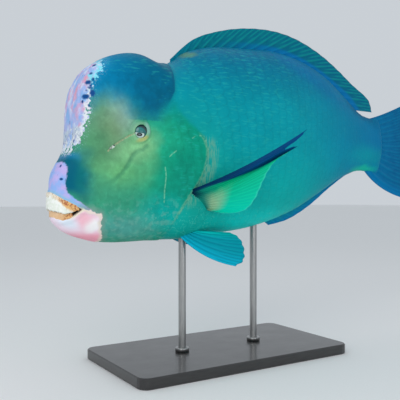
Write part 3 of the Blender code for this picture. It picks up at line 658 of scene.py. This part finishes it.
# Round the eyes: a pale pink and green rim, with a yellow crescent below and painted shade in the opening.
rim = eye_out.rise(1.60, 1.20)
tone = (rim * 0.40).blend(tone, paint(150, 196, 160))
below_eye = hide.blob(0.1660, 0.2040, 0.0120, 0.0045, 22, 0.5)
tone = (below_eye * 0.8).blend(tone, paint(190, 190, 116))
behind_eye = hide.blob(0.1760, 0.2240, 0.0050, 0.0120, 16, 0.6)
tone = (behind_eye * 0.7).blend(tone, paint(150, 196, 186))
tone = eye_out.rise(1.03, 0.97).blend(tone, paint(4, 60, 66))

edge = hide.read("edge")
streak_row, streak_run = hide.read("across"), hide.read("along")
flecks = (streak_row * 9.0).math("SINE").rise(0.30, 0.90) * streak_run.rise(0.30, 0.50) * streak_run.rise(0.95, 0.75)
flecks = flecks * patchy.rise(0.38, 0.60) * dashes.rise(0.36, 0.52) * x.rise(0.70, 0.45)
tone = (flecks * 0.20).blend(tone, paint(36, 190, 184))
tone = (edge.rise(0.45, 1.0) * 0.26).blend(tone, tone.shade(0.70))
pores = fine * 0.6 + grit * 0.4 + dashes * 0.5 + mottle * 1.4
roughness = 0.34 + patchy * 0.18 + raw * 0.12
hide.wear(pores, 0.0005, tone, roughness)
fish_skin = piece(
    "fish_skin", skin, hide.material, "trunk",
    "head", "forehead_hump", "lower_jaw", "gill_cover_left", "gill_cover_right", "trunk", "tail_stem",
)
mark_mesh(fish_skin.data, skin_marks)


# The scales: thin round-edged plates of resin in rows from the gill covers to the tail, each with
# its root under the one before it. They are largest on the trunk, and the face has none.
ROWS_ROUND = 42
FIRST_COLUMN = 8.9
COLUMN_PITCH = ((0.19, 0.27, 0.45, 0.70, 0.82, 0.92), (0.017, 0.019, 0.022, 0.019, 0.013, 0.010))
SCALE_GRID = (4, 4)
SCALE_OVERLAP = (1.60, 1.24)
SCALE_THICKNESS = 0.0004


def plate(columns, rows):
    """A thin closed plate over the unit square. Also gives each vertex's place across and up the
    square, and its side, -1 or 1."""
    made = bmesh.new()
    bmesh.ops.create_grid(made, x_segments=columns, y_segments=rows, size=0.5)
    bmesh.ops.solidify(made, geom=made.verts[:] + made.edges[:] + made.faces[:], thickness=0.1)
    bmesh.ops.recalc_face_normals(made, faces=made.faces)
    local = np.array([vert.co for vert in made.verts])
    middle = (local[:, 2].max() + local[:, 2].min()) / 2
    return made, local[:, 0] + 0.5, local[:, 1] + 0.5, np.where(local[:, 2] > middle, 1.0, -1.0)


def angle_round(places, shares):
    """The body angle at a share of the way round: 0 and 2 are the belly, 1 the back."""
    near = np.clip(places / 23 * (len(EVEN_ANGLES) - 1), 0, len(EVEN_ANGLES) - 1.001)
    shares = shares % 2
    half = np.clip(np.where(shares > 1, 2 - shares, shares), 0, 1) * (EVEN_ANGLES.shape[1] - 1)
    row, column = near.astype(int), np.minimum(half.astype(int), EVEN_ANGLES.shape[1] - 2)
    low = EVEN_ANGLES[row, column] + (EVEN_ANGLES[row, column + 1] - EVEN_ANGLES[row, column]) * (half - column)
    row = row + 1
    high = EVEN_ANGLES[row, column] + (EVEN_ANGLES[row, column + 1] - EVEN_ANGLES[row, column]) * (half - column)
    angle = low + (high - low) * (near - row + 1)
    return np.where(shares > 1, math.pi - angle, angle)


EVEN_ANGLES = np.array([spaced_angles(place, 80) for place in np.linspace(0, 23, 185)])
column_places = [FIRST_COLUMN]
while column_places[-1] < 22.3:
    here = smooth_curve(RIBS, np.array([column_places[-1], column_places[-1] + 0.01]))[:, 2:4]
    speed = np.linalg.norm(here[1] - here[0]) / 0.01
    column_places.append(column_places[-1] + np.interp(here[0, 0], *COLUMN_PITCH) / speed)

centres = []
for column, place in enumerate(column_places[:-1]):
    for row in range(ROWS_ROUND):
        share = (row + 0.5 * (column % 2)) * 2 / ROWS_ROUND
        centres.append((column, place, column_places[column + 1] - place, share))
centres = np.array(centres)
spots = body_points(centres[:, 1], angle_round(centres[:, 1], centres[:, 3]))
spot_marks = marks(spots)
tips = body_points(centres[:, 1] + centres[:, 2], angle_round(centres[:, 1] + centres[:, 2], centres[:, 3]))
tip_gill, spot_gill = marks(tips)["gill"], spot_marks["gill"]
on_cover = (spot_gill > 0) & (tip_gill > 0.004) & (spots[:, 0] > 0.196) & (spots[:, 2] < 0.235)
on_cover &= (spots[:, 2] > 0.030) & (np.abs(spots[:, 1]) > 0.02)
on_trunk = (spot_gill < -0.016) & (spot_marks["collar"] < -0.004)
on_trunk &= ~((spots[:, 2] > 0.30) & (np.abs(spots[:, 1]) < 0.006))
shown = centres[on_cover | on_trunk]

template, across, along, side = plate(*SCALE_GRID)
for rim_edge in template.edges:
    rim_edge.smooth = rim_edge.calc_face_angle(0.0) < 0.5
template_mesh = bpy.data.meshes.new("scale")
template.to_mesh(template_mesh)
template.free()
scales = bmesh.new()
for _ in shown:
    scales.from_mesh(template_mesh)

# Each plate is rounded, then laid on the skin at its own place.
right, up = 2 * across - 1, 2 * along - 1
rounded_right = right * np.sqrt(1 - up**2 / 2) * 0.7 + right * 0.3
rounded_up = up * np.sqrt(1 - right**2 / 2) * 0.8 + up * 0.2
rng = np.random.default_rng(11)
tint = rng.uniform(0, 1, len(shown))
places = shown[:, 1, None] + shown[:, 2, None] * SCALE_OVERLAP[0] * (rounded_up + 0.45) / 2
shares = shown[:, 3, None] + rounded_right * SCALE_OVERLAP[1] / ROWS_ROUND
places, shares = np.clip(places, 0.1, 22.9).ravel(), shares.ravel()
surface, outwards = skin_points(places, angle_round(places, shares))
scale_marks = marks(surface)
stand = -0.0003 + 0.0008 * along - 0.0001 * right**2 + (side - 1) / 2 * SCALE_THICKNESS
stand = np.tile(stand, len(shown)) + np.repeat((tint - 0.5) * 0.0002, len(along))
height = relief(surface, scale_marks) - SKIN_DEPTH + stand
for vert, point in zip(scales.verts, surface + outwards * height[:, None] + FISH_ORIGIN):
    vert.co = point

# Its bake patch lies inside its own cell of the unwrapped skin: the top, then strips for the
# underside and the rim.
cell_low = np.interp(shown[:, 1], ring_places, np.arange(SKIN_RINGS + 1)) / SKIN_RINGS
cell_high = np.interp(shown[:, 1] + shown[:, 2], ring_places, np.arange(SKIN_RINGS + 1)) / SKIN_RINGS
cell_left = (shown[:, 3] % 2) / 2 - 0.5 / ROWS_ROUND + 1 / ROWS_ROUND
bake_map = scales.loops.layers.uv.new("OFBake")
scales.faces.ensure_lookup_table()
faces_each = len(template_mesh.polygons)
for index, face in enumerate(scales.faces):
    owner = index // faces_each
    ends = [loop.vert.index % len(across) for loop in face.loops]
    sides = {side[end] for end in ends}
    for loop, end in zip(face.loops, ends):
        if sides == {1.0}:
            u, v = 0.02 + 0.74 * across[end], 0.04 + 0.90 * along[end]
        elif sides == {-1.0}:
            u, v = 0.80 + 0.07 * across[end], 0.04 + 0.90 * along[end]
        else:
            u = 0.90 + 0.03 * (side[end] > 0) + 0.02 * (right[end] > 0.9)
            v = 0.05 + 0.40 * (across[end] + along[end]) + 0.03 * (up[end] > 0.9)
        loop[bake_map].uv = (
            (cell_left[owner] + u / ROWS_ROUND) / (1 + 1 / ROWS_ROUND),
            cell_low[owner] + v * (cell_high[owner] - cell_low[owner]),
        )
scale_plates = piece("scale_plates", scales, hide.material, "trunk")
rim_share = np.maximum(np.abs(right), up) ** 3 * (up > -0.8)
scale_marks["edge"] = np.tile(rim_share, len(shown))
scale_marks["across"] = np.tile(right, len(shown))
scale_marks["along"] = np.tile(up / 2 + 0.5, len(shown))
mark_mesh(scale_plates.data, scale_marks)

# The eyes: glass balls, painted behind. A teal upper part stands a little proud like a brow over
# the pale ring, which looks down and forward, and the pupil is sunk in the ring.
EYE_RADIUS = 0.0190
EYE_CENTRE = (0.1640, 0.0580, 0.2180)
GAZE = Vector((-0.316, 0.876, -0.368)).normalized()
GAZE_UP = (Vector((0.10, 0.0, 1.0)) - GAZE * GAZE.dot(Vector((0.10, 0.0, 1.0)))).normalized()
GAZE_FRONT = GAZE_UP.cross(GAZE)
RING_SIZE = (0.0092, 0.0074)
PUPIL_SIZE = (0.0058, 0.0034)
BROW_LEVEL = 0.0034

glass = Finish("painted_glass_eye", Coat_Weight=0.6, Coat_Roughness=0.06, Roughness=0.30)
mirrored = glass.place.node("ShaderNodeVectorMath", {"operation": "ABSOLUTE"}, {0: glass.place})
from_centre = mirrored.node(
    "ShaderNodeVectorMath", {"operation": "SUBTRACT"}, {0: mirrored, 1: EYE_CENTRE}
)


def seen(way):
    return from_centre.node("ShaderNodeVectorMath", {"operation": "DOT_PRODUCT"}, {0: from_centre, 1: way}, 1)


ahead, above, outward = seen(GAZE_FRONT), seen(GAZE_UP), seen(GAZE)
iris_flecks = glass.cloud(0.0012, 4)
wobble = (glass.cloud(0.004, 2) - 0.5) * 0.22


def oval(long, high):
    return (ahead * (1 / long)).math("POWER", 2.0) + (above * (1 / high)).math("POWER", 2.0) + wobble


brow_tone = (above + iris_flecks * 0.004).rise(0.003, 0.016).blend(paint(0, 96, 98), paint(2, 128, 128))
brow_tone = (iris_flecks.rise(0.45, 0.62) * 0.5).blend(brow_tone, paint(0, 74, 78))
# Painted shade: the ball darkened towards its edge, where it goes under the lids.
brow_tone = outward.rise(0.0150, 0.0120).blend(brow_tone, paint(0, 44, 50))
ring_mask = oval(*RING_SIZE).rise(1.06, 0.94) * (above + wobble * 0.004).rise(BROW_LEVEL + 0.0004, BROW_LEVEL - 0.0002)
ring_tone = (iris_flecks.rise(0.40, 0.66) * 0.6).blend(paint(214, 236, 230), paint(150, 196, 196))
ring_tone = oval(*RING_SIZE).rise(0.80, 1.0).blend(ring_tone, paint(224, 214, 176))
eye_tone = ring_mask.blend(brow_tone, ring_tone)
eye_tone = oval(*PUPIL_SIZE).rise(1.10, 0.88).blend(eye_tone, paint(8, 10, 14))
# A grey painted highlight in the middle of the pupil.
lens = oval(PUPIL_SIZE[0] * 0.42, PUPIL_SIZE[1] * 0.45).rise(1.2, 0.5)
eye_tone = (lens * 0.55).blend(eye_tone, paint(120, 140, 150))
glass.wear(iris_flecks, 0.00005, eye_tone)

for hand, name in ((-1, "left"), (1, "right")):
    eyeball = bmesh.new()
    bmesh.ops.create_uvsphere(eyeball, u_segments=96, v_segments=64, radius=EYE_RADIUS)
    for vert in eyeball.verts:
        front, top, out = vert.co.x, vert.co.y, vert.co.z
        pupil = math.hypot(front / PUPIL_SIZE[0], top / PUPIL_SIZE[1])
        ring_off = math.hypot(front / RING_SIZE[0], top / RING_SIZE[1])
        rise = 0.0
        if out > 0:
            rise -= 0.0007 * (1 - ramp(pupil, 0.80, 1.15)) + 0.0005 * (1 - ramp(ring_off, 0.95, 1.10)) * float(
                top < BROW_LEVEL
            )
        size = 1 + rise / EYE_RADIUS
        spot = (GAZE_FRONT * front + GAZE_UP * top + GAZE * out) * size
        vert.co = (
            EYE_CENTRE[0] + spot.x + FISH_ORIGIN[0], hand * (EYE_CENTRE[1] + spot.y),
            EYE_CENTRE[2] + spot.z + FISH_ORIGIN[2],
        )
    bmesh.ops.recalc_face_normals(eyeball, faces=eyeball.faces)
    piece(f"eyeball_{name}", eyeball, glass.material, "eye", f"eye_{name}")

# The beak: an upper and a lower plate of fused teeth, as hard and glossy as enamel. Fine upright
# lines show where the teeth grew together, with a seam at the middle and brown stains at the gum.
BEAK_CURVE = 27.0
BEAK_PLATE = 0.0050
BEAKS = {  # inset, half width, cutting edge, gum line
    "beak_upper": (0.0, 0.0425, (0.0690, 0.0660, 0.0635, 0.0600, 0.0665), UPPER_LIP),
    "beak_lower": (0.0056, 0.0370, (0.0690, 0.0665, 0.0640, 0.0620, 0.0610), LOWER_LIP[::-1]),
}

enamel = Finish("stained_enamel", Coat_Weight=0.5, Coat_Roughness=0.15, Roughness=0.32)
from_gum, growth = enamel.read("gum"), enamel.read("along")
tooth_lines = (growth * 210).math("SINE") * 0.5 + 0.5
pits = enamel.cells(0.0022)
stain_edge = enamel.cloud(0.0060, 4)
enamel_tone = stain_edge.rise(0.35, 0.60).blend(paint(250, 252, 246), paint(236, 242, 230))
enamel_tone = (tooth_lines.rise(0.25, 0.0) * 0.08).blend(enamel_tone, paint(176, 168, 138))
rearward = enamel.axis(0).rise(0.004, 0.030)
stain = (from_gum - stain_edge * 0.012 - rearward * 0.007).rise(0.0030, -0.0030)
enamel_tone = (stain * (rearward * 0.65 + 0.25)).blend(enamel_tone, paint(232, 172, 80))
burnt = (from_gum - stain_edge * 0.010 - rearward * 0.004).rise(0.0010, -0.0030) * rearward.rise(0.3, 0.8)
enamel_tone = (burnt * enamel.cloud(0.003, 2).rise(0.45, 0.60)).blend(enamel_tone, paint(178, 84, 24))
dots = pits.rise(0.34, 0.18) * (from_gum - stain_edge * 0.010 - rearward * 0.005).rise(0.0036, -0.0010)
enamel_tone = (dots * 0.85).blend(enamel_tone, paint(112, 52, 30))
lower_plate = enamel.read("lower")
enamel_tone = (lower_plate * enamel.axis(0).rise(0.034, 0.018) * 0.85).blend(enamel_tone, paint(232, 186, 136))
enamel.wear(tooth_lines * 0.6 + pits * 0.4, 0.0002, enamel_tone)


def row_at(rows, parts):
    return smooth_curve(rows, parts * (len(rows) - 1))


for name, (inset, half, edge_rows, gum_line) in BEAKS.items():
    beak, along, out, side = plate(120, 22)
    across = 2 * along - 1
    slope = 2 * BEAK_CURVE * across * half
    length = np.hypot(1.0, slope)
    # The plate thins to both of its rims, which rounds them.
    near_rim = np.minimum.reduce([out * 0.030, (1 - out) * 0.030, (1 - np.abs(across)) * half])
    thick = np.sqrt(np.clip(1 - (1 - np.clip(near_rim / 0.0024, 0, 1)) ** 2, 0.02, 1))
    wall = inset + BEAK_PLATE * (0.5 + 0.5 * side * thick)
    wall -= (side < 0) * 0.00022 * np.cos(across * 105) * ramp(out, 0.2, 0.9)
    wall += (side < 0) * 0.0006 * dent(across * half, 0.0006)
    x = BEAK_CURVE * (across * half) ** 2 + wall / length
    y = across * half - wall * slope / length
    edge = row_at(np.array(edge_rows)[:, None], np.abs(across))[:, 0]
    edge = edge + 0.0004 * np.sin(across * 38) + 0.0003 * np.cos(across * 91)
    gum = np.interp(x, *np.array(gum_line).T) + (0.0028 if name == "beak_upper" else -0.0050)
    z = gum + (edge - gum) * out
    for vert, point in zip(beak.verts, np.stack([x, y, z], axis=1) + FISH_ORIGIN):
        vert.co = point
    beak_piece = piece(f"{name}_plate", beak, enamel.material, "beak", name)
    lower = np.full(len(x), float(name == "beak_lower"))
    gum_off = np.abs(z - np.interp(x, *np.array(gum_line).T))
    mark_mesh(beak_piece.data, {"gum": gum_off, "along": across, "lower": lower})

# The fins: thin sheets stiffened by rays, which fork towards the margin and stand out on both
# sides of the web. Each sheet is moulded with its root let into the body.

def finned(name, slot, node, place, rays, columns, rows, thickness, notch, finish, fork=0.55):
    """A fin's sheet: place gives the middle of the sheet and the way square to it."""
    sheet, along, out, side = plate(columns, rows)
    phase = math.pi * along * rays
    ray = np.abs(np.cos(phase)) ** 4
    forked = np.abs(np.cos(phase * 2)) ** 4
    share = ramp(out, fork, fork + 0.18)
    ribbing = ray * (1 - share) + np.maximum(forked, ray) * share * 0.8
    cut = notch * (1 - np.abs(np.cos(phase)) ** 1.5) * out**8
    points, square = place(along, out * (1 - cut))
    root, margin = thickness
    half = (margin + (root - margin) * (1 - out) ** 1.5) / 2
    rim = np.sqrt(np.clip(np.minimum((1 - out) / 0.012, np.minimum(along, 1 - along) / 0.006), 0.0, 1))
    half = half * (0.50 + 0.50 * ribbing) * (0.30 + 0.70 * rim)
    points = points + square * (side * half)[:, None]
    for vert, point in zip(sheet.verts, points + FISH_ORIGIN):
        vert.co = point
    bmesh.ops.recalc_face_normals(sheet, faces=sheet.faces)
    made = piece(name, sheet, finish, slot, node)
    mark_mesh(made.data, {"along": along, "out": out})


def upright(flat):
    """Places on the fish's middle plane, and the way square to it."""
    return np.stack([flat[:, 0], 0 * flat[:, 0], flat[:, 1]], axis=1), np.tile((0.0, 1.0, 0.0), (len(flat), 1))


def web(name, rays, fork=0.55):
    """A fin's finish, with what it reads: the value of its ray lines and how far out it is."""
    made = Finish(name, Coat_Weight=0.01, Coat_Roughness=0.3, Specular_IOR_Level=0.05, Roughness=0.42)
    along, out = made.read("along"), made.read("out")
    ray = (along * (rays * math.pi)).math("COSINE").math("ABSOLUTE")
    forked = (along * (rays * 2 * math.pi)).math("COSINE").math("ABSOLUTE")
    share = out.rise(fork, fork + 0.18)
    lines = ray.rise(0.80, 0.98) * (1 - share) + forked.rise(0.72, 0.96) * share
    return made, along, out, lines


# The dorsal fin stands along the back: spines in front, then soft rays that lean to the tail.
DORSAL_BASE = (12.1, 19.5)
DORSAL_TIPS = (
    (0.266, 0.384), (0.325, 0.435), (0.400, 0.465), (0.475, 0.481), (0.550, 0.485), (0.620, 0.475),
    (0.690, 0.451), (0.750, 0.420), (0.806, 0.385), (0.864, 0.352), (0.879, 0.319),
)
DORSAL_RAYS = 22


def dorsal_place(along, out):
    first, last = DORSAL_BASE
    base = smooth_curve(RIBS, first + (last - first) * along)[:, 0:2] - (0, 0.012)
    return upright(base + (row_at(DORSAL_TIPS, along) - base) * 0.998 * out[:, None])


dorsal, along, out, lines = web("dorsal_web", DORSAL_RAYS)
mottle = dorsal.cloud(0.018, 4)
tone = along.rise(0.0, 0.9).blend(paint(0, 112, 132), paint(0, 104, 136))
tone = (lines * 0.60).blend(tone, paint(12, 152, 150))
tone = (mottle.rise(0.4, 0.65) * 0.4).blend(tone, paint(2, 128, 138))
tone = (out.rise(0.50, 0.34) * along.rise(0.15, 0.60)).blend(tone, paint(0, 116, 176))
tone = along.rise(0.16, 0.02).blend(tone, paint(0, 120, 146))
tone = (out.rise(0.965, 0.995) * 0.6).blend(tone, paint(2, 80, 110))
dorsal.wear(mottle, 0.0004, tone)
finned(
    "dorsal_sheet", "dorsal_fin", "dorsal_fin", dorsal_place, DORSAL_RAYS, 264, 26, (0.0075, 0.0024), 0.010,
    dorsal.material,
)

# The anal fin lies along the belly near the tail.
ANAL_BASE = (15.65, 18.87)
ANAL_TIPS = ((0.530, 0.027), (0.590, 0.040), (0.655, 0.071), (0.722, 0.115), (0.778, 0.148), (0.806, 0.158))
ANAL_RAYS = 12


def anal_place(along, out):
    first, last = ANAL_BASE
    base = smooth_curve(RIBS, first + (last - first) * along)[:, 4:6] + (0, 0.010)
    return upright(base + (row_at(ANAL_TIPS, along) - base) * out[:, None])


anal, along, out, lines = web("anal_web", ANAL_RAYS)
mottle = anal.cloud(0.015, 4)
tone = out.rise(0.3, 1.0).blend(paint(2, 140, 168), paint(0, 116, 176))
tone = (lines * 0.35).blend(tone, paint(10, 156, 180))
tone = (mottle.rise(0.4, 0.7) * 0.3).blend(tone, paint(10, 140, 150))
anal.wear(mottle, 0.0004, tone)
finned(
    "anal_sheet", "anal_fin", "anal_fin", anal_place, ANAL_RAYS, 144, 18, (0.0065, 0.0022), 0.014, anal.material
)

# The tail fin: two swept lobes with a hollow margin, its rays forking once, nearer the root than in the other fins.
CAUDAL_BASE = ((0.862, 0.300), (0.900, 0.268), (0.905, 0.232), (0.897, 0.195), (0.850, 0.166))
CAUDAL_BEND = ((0.950, 0.320), (0.965, 0.282), (0.965, 0.230), (0.955, 0.170), (0.925, 0.088))
CAUDAL_TIPS = ((1.100, 0.392), (1.062, 0.318), (1.048, 0.240), (1.055, 0.160), (1.088, 0.084))
CAUDAL_RAYS = 14


def caudal_place(along, out):
    base, bend, tip = (row_at(rows, along) for rows in (CAUDAL_BASE, CAUDAL_BEND, CAUDAL_TIPS))
    out = out[:, None]
    return upright((1 - out) ** 2 * base + 2 * out * (1 - out) * bend + out**2 * tip)


caudal, along, out, lines = web("caudal_web", CAUDAL_RAYS, 0.35)
mottle = caudal.cloud(0.020, 4)
tone = out.rise(0.0, 0.55).blend(paint(0, 118, 166), paint(0, 104, 152))
tone = (lines * 0.35 * out.rise(0.02, 0.20)).blend(tone, paint(4, 132, 172))
tone = (mottle.rise(0.4, 0.7) * 0.35).blend(tone, paint(0, 86, 138))
tone = (along.rise(0.86, 0.99) * 0.6).blend(tone, paint(0, 128, 190))
caudal.wear(mottle, 0.0005, tone)
finned(
    "caudal_sheet", "caudal_fin", "caudal_fin", caudal_place, CAUDAL_RAYS, 224, 40, (0.0085, 0.0026), 0.006,
    caudal.material, 0.35,
)

# The paired fins: the wing-like pectoral fins behind the gill covers, held out and up, with a
# navy leading edge split in two at its tip, and the small pelvic fins under the breast.
PECTORAL_BASE = ((0.270, 0.066, 0.104), (0.300, 0.064, 0.083), (0.320, 0.058, 0.066))
PECTORAL_TIPS = (
    (0.464, 0.209, 0.228), (0.446, 0.203, 0.208), (0.420, 0.194, 0.188), (0.446, 0.201, 0.194),
    (0.410, 0.186, 0.170), (0.394, 0.176, 0.148), (0.383, 0.167, 0.120), (0.372, 0.159, 0.090),
    (0.358, 0.147, 0.068), (0.340, 0.128, 0.060), (0.322, 0.108, 0.060),
)
PECTORAL_BOW = (0.0, 0.0, -0.009)
PECTORAL_RAYS = 16
PELVIC_BASE = ((0.274, 0.024, 0.012), (0.292, 0.032, 0.016), (0.308, 0.038, 0.022))
PELVIC_BOW = (-0.006, 0.0, -0.010)
PELVIC_RAYS = 6
PELVIC_TIPS = {
    "left": (
        (0.388, 0.068, -0.055), (0.405, 0.072, -0.045), (0.407, 0.075, -0.028), (0.400, 0.078, -0.007),
        (0.386, 0.079, 0.009), (0.366, 0.079, 0.018),
    ),
    "right": (
        (0.392, 0.046, -0.013), (0.404, 0.050, -0.004), (0.405, 0.055, 0.004), (0.398, 0.060, 0.010),
        (0.384, 0.064, 0.014), (0.366, 0.068, 0.018),
    ),
}


def paired_place(base_rows, tip_rows, bow, hand):
    base_rows, tip_rows, bow = (np.array(rows) * (1, hand, 1) for rows in (base_rows, tip_rows, bow))

    def place(along, out):
        base, tip = row_at(base_rows, along), row_at(tip_rows, along)
        square = np.cross(tip - base, tip_rows[0] - tip_rows[-1])
        square /= np.linalg.norm(square, axis=1)[:, None]
        out = out[:, None]
        return base + (tip - base) * out + bow * 4 * out * (1 - out) * (1 - along[:, None]), square

    return place


pectoral, along, out, lines = web("pectoral_web", PECTORAL_RAYS)
mottle = pectoral.cloud(0.014, 4)
tone = along.rise(0.35, 0.95).blend(paint(0, 172, 124), paint(0, 208, 184))
tone = (lines * 0.40).blend(tone, paint(14, 216, 166))
tone = (out.rise(0.34, 0.06) * 0.85).blend(tone, paint(18, 124, 116))
beige = out.rise(0.52, 0.24) * out.rise(0.04, 0.20) * (along - out * 0.2 + mottle * 0.2).rise(0.34, 0.72)
tone = (beige * 0.8).blend(tone, paint(158, 190, 148))
band = (along + (mottle - 0.5) * 0.02 - out.rise(0.10, 0.75) * 0.18).rise(0.190, 0.100)
tone = band.blend(tone, out.rise(0.2, 0.9).blend(paint(0, 56, 98), paint(0, 72, 126)))
tone = (out.rise(0.14, 0.02) * along.rise(0.50, 0.20)).blend(tone, paint(0, 44, 70))
tone = (out.rise(0.965, 0.995) * along.rise(0.40, 0.50) * 0.6).blend(tone, paint(60, 214, 190))
pectoral.wear(mottle, 0.0003, tone)
pelvic, along, out, lines = web("pelvic_web", PELVIC_RAYS)
mottle = pelvic.cloud(0.012, 4)
tone = along.rise(0.0, 0.5).blend(paint(0, 176, 206), paint(0, 156, 172))
tone = (along.rise(0.6, 1.0)).blend(tone, paint(0, 196, 188))
tone = (lines * 0.5).blend(tone, paint(0, 124, 148))
pelvic.wear(mottle, 0.0003, tone)
for hand, name in ((-1, "left"), (1, "right")):
    finned(
        f"pectoral_sheet_{name}", "pectoral_fin", f"pectoral_fin_{name}",
        paired_place(PECTORAL_BASE, PECTORAL_TIPS, PECTORAL_BOW, hand), PECTORAL_RAYS, 224, 40,
        (0.0070, 0.0020), 0.016, pectoral.material,
    )
    finned(
        f"pelvic_sheet_{name}", "pelvic_fin", f"pelvic_fin_{name}",
        paired_place(PELVIC_BASE, PELVIC_TIPS[name], PELVIC_BOW, hand), PELVIC_RAYS, 120, 30,
        (0.0075, 0.0022), 0.020, pelvic.material,
    )

# The floor, lights and camera: a plain pale sheet, soft studio light, the photograph's viewpoint.
TARGET = (-0.209, 0.0, 0.346)
VIEW_TURN = -32.0
VIEW_DISTANCE = 1.31

floor = bmesh.new()
bmesh.ops.create_grid(floor, x_segments=2, y_segments=2, size=30.0)
floor_mesh = bpy.data.meshes.new("floor")
floor.to_mesh(floor_mesh)
floor.free()
floor_object = bpy.data.objects.new("floor", floor_mesh)
bpy.context.scene.collection.objects.link(floor_object)
paper = Finish("pale_paper", Roughness=0.9)
fibre = paper.cloud(0.004, 3)
paper.wear(fibre, 0.0001, fibre.blend(paint(232, 233, 233), paint(240, 240, 239)))
floor_mesh.materials.append(paper.material)

world = bpy.data.worlds.new("studio")
bpy.context.scene.world = world
world.use_nodes = True
world.node_tree.nodes["Background"].inputs["Color"].default_value = paint(206, 212, 218)
world.node_tree.nodes["Background"].inputs["Strength"].default_value = 0.95

turn = math.radians(VIEW_TURN)
toward_camera = Vector((math.sin(turn), -math.cos(turn), 0))
rightward = Vector((math.cos(turn), math.sin(turn), 0))
LIGHTS = (  # name, right, back and up from the target, size, watts
    ("key", -0.6, 1.9, 0.9, 1.4, 14.0), ("fill", 1.2, 1.7, -0.1, 1.2, 5.0), ("top", 0.4, -0.6, 2.0, 1.6, 4.0),
)
for name, right, back, up, size, watts in LIGHTS:
    light = bpy.data.lights.new(name, "AREA")
    light.size = size
    light.energy = watts
    lamp = bpy.data.objects.new(name, light)
    bpy.context.scene.collection.objects.link(lamp)
    lamp.location = Vector(TARGET) + rightward * right + toward_camera * back + Vector((0, 0, up))
    lamp.rotation_euler = (Vector(TARGET) - lamp.location).to_track_quat("-Z", "Y").to_euler()

camera_data = bpy.data.cameras.new("camera")
camera_data.lens = 54.0
camera_data.sensor_width = 36.0
camera = bpy.data.objects.new("camera", camera_data)
bpy.context.scene.collection.objects.link(camera)
camera.location = Vector(TARGET) + toward_camera * VIEW_DISTANCE
camera.rotation_euler = (-toward_camera).to_track_quat("-Z", "Y").to_euler()
bpy.context.scene.camera = camera
